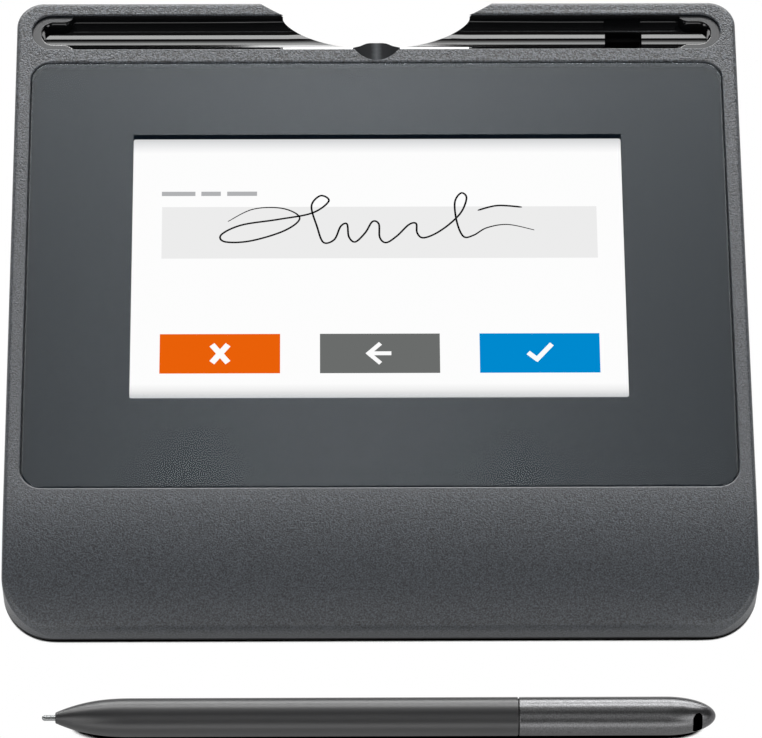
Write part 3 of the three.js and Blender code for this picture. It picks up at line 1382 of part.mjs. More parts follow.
const pen = new THREE.Group();
const frontEdgeY = caseFrontY * Math.cos(tilt) - partingZ * Math.sin(tilt);
pen.position.set(PEN_SHIFT_X - PEN_LENGTH / 2, frontEdgeY - PEN_GAP - penRadius, penRadius);
standing.add(pen);
piece(pen, 'pen_front_barrel', frontBarrel(), 'barrel');
piece(pen, 'pen_rear_cap', rearCap(), 'cap');
piece(pen, 'pen_nib', penNib(), 'nib');
piece(pen, 'pen_ferrite_core', ferriteCore(), 'ferrite');
piece(pen, 'pen_coil', penCoil(), 'copper');
piece(pen, 'pen_pressure_sensor', pressureSensor(), 'steel');
piece(pen, 'pen_carrier', penCarrier(), 'connector');
piece(pen, 'pen_board', penBoard(), 'board');

// The origin is the middle of the set's length and width, on the table
const bounds = new THREE.Box3().setFromObject(standing, true);
const middle = bounds.getCenter(new THREE.Vector3());
standing.position.set(-middle.x, -middle.y, -bounds.min.z);

export default set;
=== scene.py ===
import json
import math

import bpy
from mathutils import Matrix, Vector


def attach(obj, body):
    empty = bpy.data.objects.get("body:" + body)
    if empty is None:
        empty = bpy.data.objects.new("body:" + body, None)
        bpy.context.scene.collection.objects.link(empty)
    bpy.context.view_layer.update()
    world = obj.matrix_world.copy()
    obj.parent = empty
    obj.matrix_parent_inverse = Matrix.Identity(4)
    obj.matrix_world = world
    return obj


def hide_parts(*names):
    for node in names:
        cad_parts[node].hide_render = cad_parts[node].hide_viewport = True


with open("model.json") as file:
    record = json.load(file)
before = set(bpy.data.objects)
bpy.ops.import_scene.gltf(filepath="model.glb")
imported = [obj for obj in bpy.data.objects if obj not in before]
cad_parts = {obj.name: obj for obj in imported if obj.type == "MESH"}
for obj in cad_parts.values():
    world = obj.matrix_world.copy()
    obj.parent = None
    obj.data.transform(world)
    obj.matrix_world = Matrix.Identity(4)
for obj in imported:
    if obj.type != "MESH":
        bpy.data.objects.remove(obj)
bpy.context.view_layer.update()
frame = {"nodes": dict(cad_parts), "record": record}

# Sizes in millimetres, in the pad's own frame: the case top is z = 0, the screen's middle is the origin
SCREEN_HALF = (54.0, 32.4)
GLASS_HALF_X = 77.05
GLASS_REAR, GLASS_FRONT = 51.2, -55.0
GLASS_RADIUS = 4.7
CASE_HALF_X = 80.5
PALM_DEPTH, PALM_DROP = 30.45, 9.2
CASE_FRONT = GLASS_FRONT - PALM_DEPTH
EDGE_RADIUS, LAND = 1.2, 0.6
WALL = 2.2
LOWER_WALL = 2.0
STRIP = 3.45
GROOVE_HALF = 4.465
GROOVE_FRONT = GLASS_REAR + STRIP
GROOVE_Y = GROOVE_FRONT + GROOVE_HALF
GROOVE_REAR = GROOVE_Y + GROOVE_HALF
GROOVE_END = CASE_HALF_X - STRIP
CASE_REAR = GROOVE_REAR + 3.35
SHOULDER = 2.0
LIP = 0.5
GAP = 0.3
TRAY_TOP = -LIP - GAP
TRAY_WALL = 1.4
TRAY_BOTTOM = -SHOULDER - GROOVE_HALF - 1.8
PARTING = -(PALM_DROP + EDGE_RADIUS + LAND)
SCALLOP_R, SCALLOP_EDGE = 45.4, 0.35
SCALLOP_SHARE = 0.425
SCALLOP_FRONT = GROOVE_FRONT + 2 * GROOVE_HALF * SCALLOP_SHARE
SCALLOP_Y = SCALLOP_FRONT + SCALLOP_R
TILT = math.radians(4)
FRONT_HEIGHT = 2
ORIGIN_HEIGHT = FRONT_HEIGHT - CASE_FRONT * math.sin(TILT) - PARTING * math.cos(TILT)
SHIFT_Y = 20.1645
PEN_RADIUS = 4.08
PEN_LENGTH = 141.7
PEN_PLACE = (-71.4, -84.394, PEN_RADIUS)

PAD = Matrix.Translation((0, SHIFT_Y, ORIGIN_HEIGHT)) @ Matrix.Rotation(TILT, 4, "X")
PAD_INVERSE = PAD.inverted()
PEN = Matrix.Translation(PEN_PLACE)
TABLE = Matrix.Identity(4)
# Cutters run on by this much beyond what they cut
OVER = 3.0
RIM_STEPS = 5
# Heights over the table in the lower case: its inner floor, and the level that posts and wells start from
BASE_FLOOR, BASE_ROOT = 3.0, 1.6


# Meshes, made in millimetres and brought to metres when they are dressed
def level(y, height):
    """Height in the pad's frame of a point that lies this high over the table."""
    return (height - ORIGIN_HEIGHT - y * math.sin(TILT)) / math.cos(TILT)


def place(name, points, faces, frame_matrix=PAD):
    """A new object from points given in this frame."""
    mesh = bpy.data.meshes.new(name)
    mesh.from_pydata([tuple(frame_matrix @ Vector(p)) for p in points], [], faces)
    mesh.update()
    obj = bpy.data.objects.new(name, mesh)
    bpy.context.scene.collection.objects.link(obj)
    return obj


def outline(half_x, front, rear, front_r, rear_r, inset=0.0, steps=20, stations=()):
    """Right side from front to rear, then the left side back; point i mirrors n - 1 - i."""
    right = []
    fr = max(front_r - inset, 1e-4)
    rr = max(rear_r - inset, 1e-4)
    side = half_x - inset
    for i in range(steps + 1):
        a = i / steps * math.pi / 2
        right.append((side - fr + fr * math.sin(a), front + inset + fr * (1 - math.cos(a))))
    start = front + inset + fr
    for share, end in stations:
        right.append((side, start + share * (end - start)))
    for i in range(steps + 1):
        a = i / steps * math.pi / 2
        right.append((side - rr * (1 - math.cos(a)), rear - inset - rr + rr * math.sin(a)))
    kept = [right[0]]
    for point in right[1:]:
        if math.dist(point, kept[-1]) > 1e-6:
            kept.append(point)
    return kept + [(-x, y) for x, y in reversed(kept)]


def bands(count, n):
    """The faces between this many rings of n points each."""
    return [
        (k * n + i, k * n + (i + 1) % n, (k + 1) * n + (i + 1) % n, (k + 1) * n + i)
        for k in range(count - 1)
        for i in range(n)
    ]


def loft(name, rings, frame_matrix=PAD):
    """A solid through rings of equal count, with flat strips from side to side as its ends."""
    n = len(rings[0])
    faces = bands(len(rings), n)
    top = (len(rings) - 1) * n
    for i in range(n // 2 - 1):
        faces.append((top + i, top + i + 1, top + n - 2 - i, top + n - 1 - i))
        faces.append((i, n - 1 - i, n - 2 - i, i + 1))
    return place(name, [p for each in rings for p in each], faces, frame_matrix)


def closed(name, rings, frame_matrix=PAD):
    """A solid through rings of equal count, with one face at either end."""
    n = len(rings[0])
    top = (len(rings) - 1) * n
    faces = bands(len(rings), n) + [tuple(range(n - 1, -1, -1)), tuple(range(top, top + n))]
    return place(name, [p for each in rings for p in each], faces, frame_matrix)


def rounding(radius, steps):
    """A quarter circle as pairs: one grows from 0 to the radius while the other falls to 0."""
    turns = [i / steps * math.pi / 2 for i in range(steps + 1)]
    return [(radius * (1 - math.cos(a)), radius * (1 - math.sin(a))) for a in turns]


def ring(plan, inset, height, **options):
    """An outline in space; its height is a number or depends on y."""
    return [(x, y, height(y) if callable(height) else height) for x, y in outline(*plan, inset=inset, **options)]


def block(name, low, high, frame_matrix=PAD):
    """A box between two corners."""
    points = [(x, y, z) for z in (low[2], high[2]) for y in (low[1], high[1]) for x in (low[0], high[0])]
    faces = [(0, 2, 3, 1), (4, 5, 7, 6), (0, 1, 5, 4), (2, 6, 7, 3), (0, 4, 6, 2), (1, 3, 7, 5)]
    return place(name, points, faces, frame_matrix)


def spun(name, profile, centre, steps):
    """Turned about a vertical line; profile is a list of (radius, z) from bottom to top."""
    turns = [2 * math.pi * i / steps for i in range(steps)]
    cx, cy = centre
    return closed(name, [[(cx + r * math.cos(a), cy + r * math.sin(a), z) for a in turns] for r, z in profile])


def lathe(name, profile, steps=128, frame_matrix=PEN):
    """Turned about the frame's x axis; profile is a list of (place, radius) along it."""
    turns = [2 * math.pi * i / steps for i in range(steps)]
    return closed(name, [[(x, r * math.cos(a), r * math.sin(a)) for a in turns] for x, r in profile], frame_matrix)


def prism(name, plan, low, high, frame_matrix=PAD):
    """A plan polygon, anticlockwise from above, between two heights."""
    return closed(name, [[(x, y, z) for x, y in plan] for z in (low, high)], frame_matrix)


def boolean(target, cutter, operation="DIFFERENCE"):
    """Takes the cutter from the target, or joins it, and drops the cutter."""
    modifier = target.modifiers.new("cut", "BOOLEAN")
    modifier.operation = operation
    modifier.solver = "MANIFOLD"
    modifier.object = cutter
    apply_modifiers(target)
    bpy.data.objects.remove(cutter, do_unlink=True)


def apply_modifiers(obj):
    """Bakes an object's modifiers into its mesh."""
    graph = bpy.context.evaluated_depsgraph_get()
    mesh = bpy.data.meshes.new_from_object(obj.evaluated_get(graph), depsgraph=graph)
    obj.modifiers.clear()
    obj.data = mesh


def smooth(obj, degrees=28):
    """Smooth shading; edges over this angle stay sharp."""
    mesh = obj.data
    mesh.polygons.foreach_set("use_smooth", [True] * len(mesh.polygons))
    mesh.set_sharp_from_angle(angle=math.radians(degrees))
    modifier = obj.modifiers.new("normals", "WEIGHTED_NORMAL")
    modifier.keep_sharp = True
    modifier.weight = 90
    apply_modifiers(obj)
    return obj


# Materials
BLACK, WHITE = (0, 0, 0, 1), (1, 1, 1, 1)


def srgb(*values):
    """A screen colour, 0 to 255, as linear light."""
    out = []
    for v in values:
        v = v / 255
        out.append(v / 12.92 if v <= 0.04045 else ((v + 0.055) / 1.055) ** 2.4)
    return (*out, 1.0)


class Shader:
    """A small helper over one material's node tree."""

    def __init__(self, name):
        self.material = bpy.data.materials.new(name)
        self.material.use_nodes = True
        self.tree = self.material.node_tree
        self.tree.nodes.clear()
        self.out = self.tree.nodes.new("ShaderNodeOutputMaterial")

    def node(self, kind, **inputs):
        made = self.tree.nodes.new(kind)
        for key, value in inputs.items():
            self.set(made, key.replace("_", " "), value)
        return made

    def set(self, node, key, value):
        socket = node.inputs[key] if not key.isdigit() else node.inputs[int(key)]
        if isinstance(value, bpy.types.NodeSocket):
            self.tree.links.new(value, socket)
        else:
            socket.default_value = value

    def coordinates(self):
        return self.node("ShaderNodeTexCoord").outputs["Object"]

    def noise(self, scale, detail=2.0, roughness=0.5):
        made = self.node("ShaderNodeTexNoise", Scale=scale, Detail=detail, Roughness=roughness)
        self.set(made, "Vector", self.coordinates())
        return made.outputs["Fac"]

    def ramp(self, factor, stops):
        made = self.tree.nodes.new("ShaderNodeValToRGB")
        elements = made.color_ramp.elements
        while len(elements) > 1:
            elements.remove(elements[-1])
        elements[0].position, elements[0].color = stops[0]
        for position, color in stops[1:]:
            elements.new(position).color = color
        self.set(made, "Fac", factor)
        return made.outputs["Color"]

    def bump(self, height, strength, distance):
        made = self.node("ShaderNodeBump", Strength=strength, Distance=distance, Height=height)
        return made.outputs["Normal"]

    def math(self, operation, *values):
        made = self.tree.nodes.new("ShaderNodeMath")
        made.operation = operation
        for i, value in enumerate(values):
            self.set(made, str(i), value)
        return made.outputs["Value"]

    def screen_share(self):
        """1 over the lit screen, 0 over the printed border."""
        split = self.node("ShaderNodeSeparateXYZ", Vector=self.coordinates())
        side = self.math("COMPARE", split.outputs["X"], 0.0, 0.001 * SCREEN_HALF[0])
        middle = 0.001 * (PAD @ Vector((0, 0, 0))).y
        depth = self.math("COMPARE", split.outputs["Y"], middle, 0.001 * SCREEN_HALF[1])
        return self.math("MULTIPLY", side, depth)

    def mix(self, factor, first, second):
        return self.node("ShaderNodeMixShader", **{"0": factor, "1": first, "2": second}).outputs["Shader"]

    def principled(self, **values):
        return self.node("ShaderNodeBsdfPrincipled", **values).outputs["BSDF"]

    def finish(self, surface):
        self.tree.links.new(surface, self.out.inputs["Surface"])
        return self.material


def scaled(color, factor):
    return (color[0] * factor, color[1] * factor, color[2] * factor, 1.0)


def grained(name, color, roughness=0.5, grain=0.22, depth=0.0001, scale=3000.0, metallic=0.0, **extra):
    """A fine grain in both tone and height."""
    s = Shader(name)
    fine = s.noise(scale, detail=2.0, roughness=0.6)
    tint = s.ramp(fine, [(0.36, scaled(color, 1 - grain)), (0.5, color), (0.64, scaled(color, 1 + grain))])
    normal = s.bump(fine, 1.0, depth)
    return s.finish(s.principled(Base_Color=tint, Roughness=roughness, Metallic=metallic, Normal=normal, **extra))


def plain(name, color, roughness=0.5, metallic=0.0, variation=0.05, scale=300.0, **extra):
    """Smooth, with a slight variation of tone."""
    s = Shader(name)
    tint = s.ramp(
        s.noise(scale, detail=1.0),
        [(0.3, scaled(color, 1 - variation)), (0.7, scaled(color, 1 + variation))],
    )
    return s.finish(s.principled(Base_Color=tint, Roughness=roughness, Metallic=metallic, **extra))


def lit(name, color):
    """A colour of the lit screen."""
    s = Shader(name)
    return s.finish(s.node("ShaderNodeEmission", Color=color, Strength=1.0).outputs["Emission"])


def case_material():
    """The moulding's grain; it grows coarser and stronger to the rear."""
    color, grain = srgb(48, 51, 55), 0.65
    s = Shader("case_grain")
    along = s.node("ShaderNodeSeparateXYZ", Vector=s.coordinates()).outputs["Y"]
    rear = s.math("MINIMUM", s.math("MAXIMUM", s.math("MULTIPLY", along, 15.0), 0.0), 1.0)
    fine = s.noise(3000.0, detail=2.0, roughness=0.6)
    coarse = s.noise(2500.0, detail=2.0, roughness=0.6)
    mixed = s.math("ADD", s.math("MULTIPLY", fine, s.math("SUBTRACT", 1.0, rear)), s.math("MULTIPLY", coarse, rear))
    gain = s.math("ADD", 1.0, rear)
    value = s.math("ADD", 0.5, s.math("MULTIPLY", s.math("SUBTRACT", mixed, 0.5), gain))
    tint = s.ramp(value, [
        (0.26, scaled(color, 0.1)), (0.36, scaled(color, 1 - grain)), (0.5, color),
        (0.64, scaled(color, 1 + grain)), (0.74, scaled(color, 2.1)),
    ])
    normal = s.bump(value, 1.0, 0.0001)
    return s.finish(s.principled(Base_Color=tint, Roughness=0.36, Normal=normal))


def dish_material():
    """The thumb dish: dull; its darker tone is painted shade, and its paler middle, lighter nearer x = 0, is a painted
    highlight.
    """
    s = Shader("case_dish_painted_light")
    split = s.node("ShaderNodeSeparateXYZ", Vector=s.coordinates())
    # Painted highlight: the tone is palest at x = 0 and falls to a dark painted shade towards the sides
    off = s.math("MULTIPLY", s.math("ABSOLUTE", split.outputs["X"]), 250.0)
    fine = s.math("MULTIPLY", s.noise(900.0), 0.16)
    tint = s.ramp(
        s.math("ADD", off, fine),
        [(0.05, srgb(64, 66, 68)), (0.4, srgb(32, 33, 34)), (1.0, srgb(28, 29, 30))],
    )
    return s.finish(s.principled(Base_Color=tint, Roughness=0.35, Specular_IOR_Level=0.0))


grain_mat = case_material()
# The dish material holds painted shade and a painted highlight
dish_shade_mat = dish_material()
lower_mat = grained("case_lower", srgb(16, 16, 17), roughness=0.5, grain=0.25, Specular_IOR_Level=0.2)
# Satin for the tray's walls: a dull finish, and its darker colour is painted shade
satin_shade_mat = plain("tray_satin_painted_shade", srgb(5, 5, 6), roughness=0.7, variation=0.0, Specular_IOR_Level=0.1)
ledge_mat = plain("tray_ledge", srgb(14, 17, 21), roughness=0.3, variation=0.0, IOR=1.7)
gloss_mat = plain("tray_gloss", srgb(9, 10, 11), roughness=0.05, variation=0.0, IOR=2.6)
print_mat = plain("glass_print", srgb(9, 15, 21), roughness=0.6, variation=0.02, Specular_IOR_Level=0.0)
rubber_mat = grained("foot_rubber", srgb(26, 26, 27), roughness=0.85, grain=0.2, scale=1800.0)
steel_mat = plain("steel", srgb(176, 178, 180), roughness=0.3, metallic=1.0, variation=0.04)
board_mat = plain("laminate_green", srgb(28, 84, 54), roughness=0.4, variation=0.12, scale=600.0)
chip_mat = plain("chip_black", srgb(26, 26, 28), roughness=0.45)
flex_mat = plain("flex_amber", srgb(176, 112, 34), roughness=0.35)
tape_mat = plain("tape_black", srgb(22, 22, 22), roughness=0.9)
cell_mat = plain("cell_glass", srgb(220, 224, 226), roughness=0.15)
guide_mat = plain("light_guide", srgb(226, 230, 232), roughness=0.1)
ivory_mat = plain("connector_ivory", srgb(222, 216, 200), roughness=0.5)
ferrite_mat = plain("ferrite", srgb(62, 62, 64), roughness=0.55)
copper_mat = plain("copper_wire", srgb(178, 108, 62), roughness=0.3, metallic=1.0)
seam_mat = plain("pen_seam", srgb(14, 14, 14), roughness=0.8, variation=0.0)
barrel_mat = plain("pen_barrel", srgb(30, 30, 31), roughness=0.38, variation=0.03, scale=900.0)
cap_mat = grained("pen_cap", srgb(89, 89, 90), roughness=0.31, grain=0.25, scale=3600.0, depth=0.00002, metallic=0.95)
# Painted shade for the eyelet's inside
eyelet_shade_mat = plain("eyelet_inside_painted_shade", srgb(3, 3, 3), roughness=1.0, variation=0.0, Specular_IOR_Level=0.0)
nib_mat = plain("pen_nib", srgb(120, 122, 122), roughness=0.22, metallic=0.8)


def dressed(obj, material, body, replaced=(), others=()):
    """Brings a mesh to metres and gives it materials, its body and the nodes it stands for."""
    obj.data.transform(Matrix.Scale(0.001, 4))
    obj.data.materials.clear()
    for each in (material, *others):
        obj.data.materials.append(each)
    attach(obj, body)
    if replaced:
        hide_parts(*replaced)
    return obj


# Upper case
STATIONS = [((i + 1) / 40, GLASS_FRONT) for i in range(40)]
CASE_PLAN = (CASE_HALF_X, CASE_FRONT, CASE_REAR, 11, 6)
GLASS_PLAN = (GLASS_HALF_X, GLASS_FRONT, GLASS_REAR, GLASS_RADIUS, GLASS_RADIUS)
GROOVE_PLAN = (GROOVE_END, GROOVE_FRONT, GROOVE_REAR, GROOVE_HALF, GROOVE_HALF)


def case_top(y, wall=0.0):
    """Height of the case top, or of its inner face; the palm rest falls off as a quarter ellipse."""
    share = min(1.0, max(0.0, GLASS_FRONT - y) / (PALM_DEPTH - wall))
    return -wall - (PALM_DROP - wall) * (1 - math.sqrt(1 - share * share))


def rounded_cutter(name, plan, bottom, radius):
    """Cuts a hole whose upper rim is rounded."""
    rings = [ring(plan, 0, bottom)]
    rings += [ring(plan, -out, -down) for out, down in rounding(radius, RIM_STEPS)]
    rings.append(ring(plan, -radius, OVER))
    return loft(name, rings)


def arc(name, profile, steps=360):
    """A round cutter about the finger scallop's middle."""
    return spun(name, profile, (0, SCALLOP_Y), steps)


def scallop_cutter():
    """Cuts the finger scallop with a rounded upper rim."""
    profile = [(SCALLOP_R, -40.0)]
    profile += [(SCALLOP_R + out, -down) for out, down in rounding(SCALLOP_EDGE, RIM_STEPS)]
    profile.append((SCALLOP_R + SCALLOP_EDGE, OVER))
    return arc("arc", profile)


# Shares of the tongue's length over the groove, and its half width there
TONGUE = [(0, 5.4), (0.2, 4.7), (0.45, 3.7), (0.7, 2.9), (0.88, 2.2), (0.97, 1.5), (1.0, 0.8)]


def tongue_plan(gap):
    """The tongue that carries the thumb dish; its rounded end runs on under the arc."""
    depth = SCALLOP_FRONT - GROOVE_FRONT
    start = GROOVE_FRONT - TRAY_WALL - 2 * GAP - gap
    right = [(TONGUE[0][1] + gap, start)]
    right += [(half + gap, GROOVE_FRONT + share * depth + gap * share) for share, half in TONGUE]
    return right + [(-x, y) for x, y in reversed(right)]


THUMB_R, THUMB_SLOPE, THUMB_Y = 9.2, math.radians(30), GLASS_REAR + 0.4
TONGUE_BOTTOM = -(SCALLOP_FRONT - THUMB_Y) * math.tan(THUMB_SLOPE) - 1.1
DISH_AXIS = Vector((0, math.cos(THUMB_SLOPE), -math.sin(THUMB_SLOPE)))
DISH_UP = Vector((0, math.sin(THUMB_SLOPE), math.cos(THUMB_SLOPE)))
DISH_CENTRE = Vector((0, THUMB_Y, 0)) + THUMB_R * DISH_UP


def thumb_cutter():
    """A long round cutter; its lowest line starts at the strip and falls to the rear."""
    steps, length = 128, 40.0
    points = []
    for end in (-length, length):
        for i in range(steps):
            a = 2 * math.pi * i / steps
            spoke = math.cos(a) * Vector((1, 0, 0)) + math.sin(a) * DISH_UP
            points.append(tuple(DISH_CENTRE + DISH_AXIS * end + THUMB_R * spoke))
    faces = [(i, steps + i, steps + (i + 1) % steps, (i + 1) % steps) for i in range(steps)]
    faces.append(tuple(range(steps)))
    faces.append(tuple(range(2 * steps - 1, steps - 1, -1)))
    return place("thumb", points, faces)


rings = [ring(CASE_PLAN, 0, PARTING, stations=STATIONS)]
for drop, inset in reversed(rounding(EDGE_RADIUS, 8)):
    rings.append(ring(CASE_PLAN, inset, lambda y, d=drop: case_top(y) - d, stations=STATIONS))
upper = loft("case_top", rings)
hollow = loft("hollow", [
    ring(CASE_PLAN, WALL, PARTING - OVER, stations=STATIONS, steps=8),
    ring(CASE_PLAN, WALL, lambda y: case_top(y, WALL), stations=STATIONS, steps=8),
])
# The glass lies on a ledge between these heights, with a window in it for display and digitizer
LEDGE_TOP, LEDGE_BOTTOM = -3.15, -4.95
WINDOW_HALF = (60.5, 38.1)
GLASS_RIM, GROOVE_RIM = 0.35, 0.3
boolean(hollow, block(
    "seat",
    (-90, GLASS_FRONT - WALL, LEDGE_BOTTOM),
    (90, GROOVE_FRONT - TRAY_WALL - GAP, 5),
))
boolean(hollow, arc("arc_wall", [(SCALLOP_R + WALL, -40), (SCALLOP_R + WALL, 5)], 180))
boolean(upper, hollow)
boolean(upper, rounded_cutter("glass_hole", GLASS_PLAN, LEDGE_TOP, GLASS_RIM))
boolean(upper, block("window", (-WINDOW_HALF[0], -WINDOW_HALF[1], -9), (*WINDOW_HALF, 1)))
heights = (TRAY_BOTTOM - GAP, TRAY_TOP + GAP)
boolean(upper, loft("bay", [ring(GROOVE_PLAN, -TRAY_WALL - GAP, z, steps=12) for z in heights]))
boolean(upper, rounded_cutter("groove_hole", GROOVE_PLAN, TRAY_TOP - OVER, GROOVE_RIM))
boolean(upper, prism("tongue", tongue_plan(0), TONGUE_BOTTOM, 0), "UNION")
boolean(upper, thumb_cutter())
boolean(upper, scallop_cutter())
smooth(upper)
dressed(upper, grain_mat, "pad", ["upper_case"], [dish_shade_mat])
# The thumb dish is what the round cutter left; its faces take the dish material with its painted shade and painted
# highlight
for polygon in upper.data.polygons:
    middle = PAD_INVERSE @ (1000 * polygon.center)
    off = middle - DISH_CENTRE
    away = off - off.dot(DISH_AXIS) * DISH_AXIS
    on_cutter = abs(away.length - THUMB_R) < 0.05
    if on_cutter and abs(middle.x) < 6 and GLASS_REAR - 1 < middle.y < SCALLOP_FRONT + 1:
        polygon.material_index = 1

# Lower case: its flat bottom's height over the table, and the width and height of its rounded lower edge
BASE_BOTTOM, BASE_IN, BASE_UP = 1, 1.1, 0.6
rings = []
for rise, inset in rounding(1, 6):
    height = BASE_BOTTOM + BASE_UP * rise
    rings.append(ring(CASE_PLAN, BASE_IN * inset, lambda y, h=height: level(y, h)))
rings.append(ring(CASE_PLAN, 0, PARTING - GAP))
lower = loft("case_base", rings)


def below(height):
    """Takes away what lies lower than this over the table."""
    return block("below", (-140.0, -140.0, -60.0), (140.0, 140.0, height), TABLE)


# The well under the tray's tether opening: left, right, and its depth to the rear
WELL_LEFT, WELL_RIGHT, WELL_DEPTH, WELL_WALL = 51.2, 59.5, 6.85, 1.5
hollow = loft("lower_hollow", [ring(CASE_PLAN, LOWER_WALL, z, steps=8) for z in (-40.0, OVER)])
boolean(hollow, below(BASE_FLOOR))
boolean(hollow, arc("arc_wall", [(SCALLOP_R + WALL, -60), (SCALLOP_R + WALL, 8)], 180))
boolean(lower, hollow)
well = block(
    "well",
    (WELL_LEFT - WELL_WALL, GROOVE_FRONT - WELL_WALL, -30),
    (WELL_RIGHT + WELL_WALL, CASE_REAR - 2.5, TRAY_BOTTOM - GAP),
)
boolean(well, below(BASE_ROOT))
boolean(lower, well, "UNION")
inside = block("well_inside", (WELL_LEFT, GROOVE_FRONT, -40), (WELL_RIGHT, GROOVE_FRONT + WELL_DEPTH, 2))
boolean(inside, below(BASE_FLOOR))
boolean(lower, inside)
boolean(lower, scallop_cutter())
SCREWS = [(-73, 47), (73, 47), (-73, -2), (73, -2), (-50, CASE_FRONT + 19.5), (50, CASE_FRONT + 19.5)]
POST_R, HEAD_R, SHANK_R, TETHER_R = 4.25, 2.95, 1.7, 1.8
boss_end = case_top(SCREWS[4][1], WALL) - 6.8
seat_top = boss_end - GAP
for x, y in SCREWS:
    boolean(lower, spun("post", [(POST_R, level(y, BASE_ROOT)), (POST_R, seat_top)], (x, y), 48), "UNION")
    boolean(lower, spun("head", [(HEAD_R, -40), (HEAD_R, seat_top - 1.6)], (x, y), 48))
    boolean(lower, spun("shank", [(SHANK_R, -40), (SHANK_R, 0)], (x, y), 32))
middle = ((WELL_LEFT + WELL_RIGHT) / 2, GROOVE_FRONT + WELL_DEPTH / 2)
boolean(lower, spun("tether_hole", [(TETHER_R, -40), (TETHER_R, 0)], middle, 48))
FOOT_PLAN = (8.15, -3.65, 3.65, 3.65, 3.65)
FEET = [(x, y) for y in (CASE_FRONT + 13.5, CASE_REAR - 10.5) for x in (-67, 67)]
for x, y in FEET:
    rings = [
        [(px + x, py + y + SHIFT_Y, z) for px, py, z in ring(FOOT_PLAN, 0, h, steps=12)]
        for h in (-2.0, BASE_ROOT)
    ]
    boolean(lower, loft("foot_recess", rings, TABLE))


def rear_slot(name, x, z, half_w, half_h, front, rear, corner, steps=12):
    """Cuts through the rear wall; the plan stands upright."""
    plan = outline(half_w, -half_h, half_h, corner, corner, steps=steps)
    n = len(plan)
    points = [(x + a, front, z + b) for a, b in plan] + [(x + a, rear, z + b) for a, b in plan]
    faces = [(n + i, n + (i + 1) % n, (i + 1) % n, i) for i in range(n)]
    faces.append(tuple(range(n)))
    faces.append(tuple(range(2 * n - 1, n - 1, -1)))
    return place(name, points, faces)


# The data inlet sits under the main board, the lock slot below the parting line
BOARD_BOTTOM = -14.8
USB_X, USB_Z = -34.0, BOARD_BOTTOM - GAP - 1.6
LOCK_X, LOCK_Z = -60.0, PARTING - 2 * GAP - 5.0
behind = CASE_REAR + OVER
boolean(lower, rear_slot("usb_way", USB_X, USB_Z, 4.77, 1.9, CASE_REAR - 4, behind, 1.9))
boolean(lower, rear_slot("usb_pocket", USB_X, USB_Z, 6.37, 3.5, CASE_REAR - 1, behind, 3.5))
boolean(lower, rear_slot("lock_way", LOCK_X, LOCK_Z, 3.5, 1.5, CASE_REAR - 4, behind, 0.3, steps=3))
smooth(lower)
dressed(lower, lower_mat, "pad", ["lower_case"])


# Cover glass: one clear sheet; the grey print lies under it and leaves the screen free
def glass_material():
    """Clear, with a soft gloss on its outer face over the printed border."""
    s = Shader("cover_glass_etched")
    clear = s.node("ShaderNodeBsdfTransparent", Color=(0.99, 0.99, 0.99, 1)).outputs["BSDF"]
    gloss = s.node("ShaderNodeBsdfGlossy", Color=(0.88, 0.95, 1, 1), Roughness=0.24).outputs["BSDF"]
    fresnel = s.node("ShaderNodeFresnel", IOR=1.7).outputs["Fac"]
    inner = s.tree.nodes.new("ShaderNodeNewGeometry").outputs["Backfacing"]
    outer = s.math("SUBTRACT", 1.0, inner)
    border = s.math("SUBTRACT", 1.0, s.screen_share())
    return s.finish(s.mix(s.math("MULTIPLY", s.math("MULTIPLY", fresnel, outer), border), clear, gloss))


GLASS_TOP, GLASS_BOTTOM = -0.25, -2.05
GLASS_GAP, GLASS_EDGE = 0.2, 0.25
edge = rounding(GLASS_EDGE, 4)
rings = [ring(GLASS_PLAN, GLASS_GAP + inset, GLASS_BOTTOM + rise) for rise, inset in edge]
rings += [ring(GLASS_PLAN, GLASS_GAP + inset, GLASS_TOP - drop) for drop, inset in reversed(edge)]
glass = smooth(loft("cover_sheet", rings))
dressed(glass, glass_material(), "pad", ["cover_glass"])

PRINT_BOTTOM, PRINT_TOP = -2.16, -2.1
sheet = loft("glass_back_print", [ring(GLASS_PLAN, GLASS_GAP + GLASS_EDGE, z) for z in (PRINT_BOTTOM, PRINT_TOP)])
hole = (SCREEN_HALF[0], -SCREEN_HALF[1], SCREEN_HALF[1], 0.5, 0.5)
boolean(sheet, loft("print_hole", [ring(hole, 0, z, steps=6) for z in (-4, 2)]))
smooth(sheet)
dressed(sheet, print_mat, "pad")

# Screen picture: white ground, a grey field with a scribble, three keys with signs
SCREEN_Z = -2.3
SCREEN_OVER = 0.6


def screen_material():
    """Lit white, a little dimmer at the front and rear edges."""
    s = Shader("screen_ground")
    split = s.node("ShaderNodeSeparateXYZ", Vector=s.coordinates())
    share = s.node(
        "ShaderNodeMapRange",
        Value=split.outputs["Y"],
        From_Min=0.001 * (PAD @ Vector((0, -SCREEN_HALF[1], SCREEN_Z))).y,
        From_Max=0.001 * (PAD @ Vector((0, SCREEN_HALF[1], SCREEN_Z))).y,
    )
    color = s.ramp(share.outputs["Result"], [
        (0.0, srgb(196, 197, 198)), (0.012, srgb(214, 215, 216)), (0.03, srgb(240, 240, 240)), (0.055, WHITE),
        (0.945, WHITE), (0.965, srgb(243, 243, 244)), (0.985, srgb(226, 227, 228)), (1.0, srgb(212, 213, 214)),
    ])
    return s.finish(s.node("ShaderNodeEmission", Color=color, Strength=1.0).outputs["Emission"])


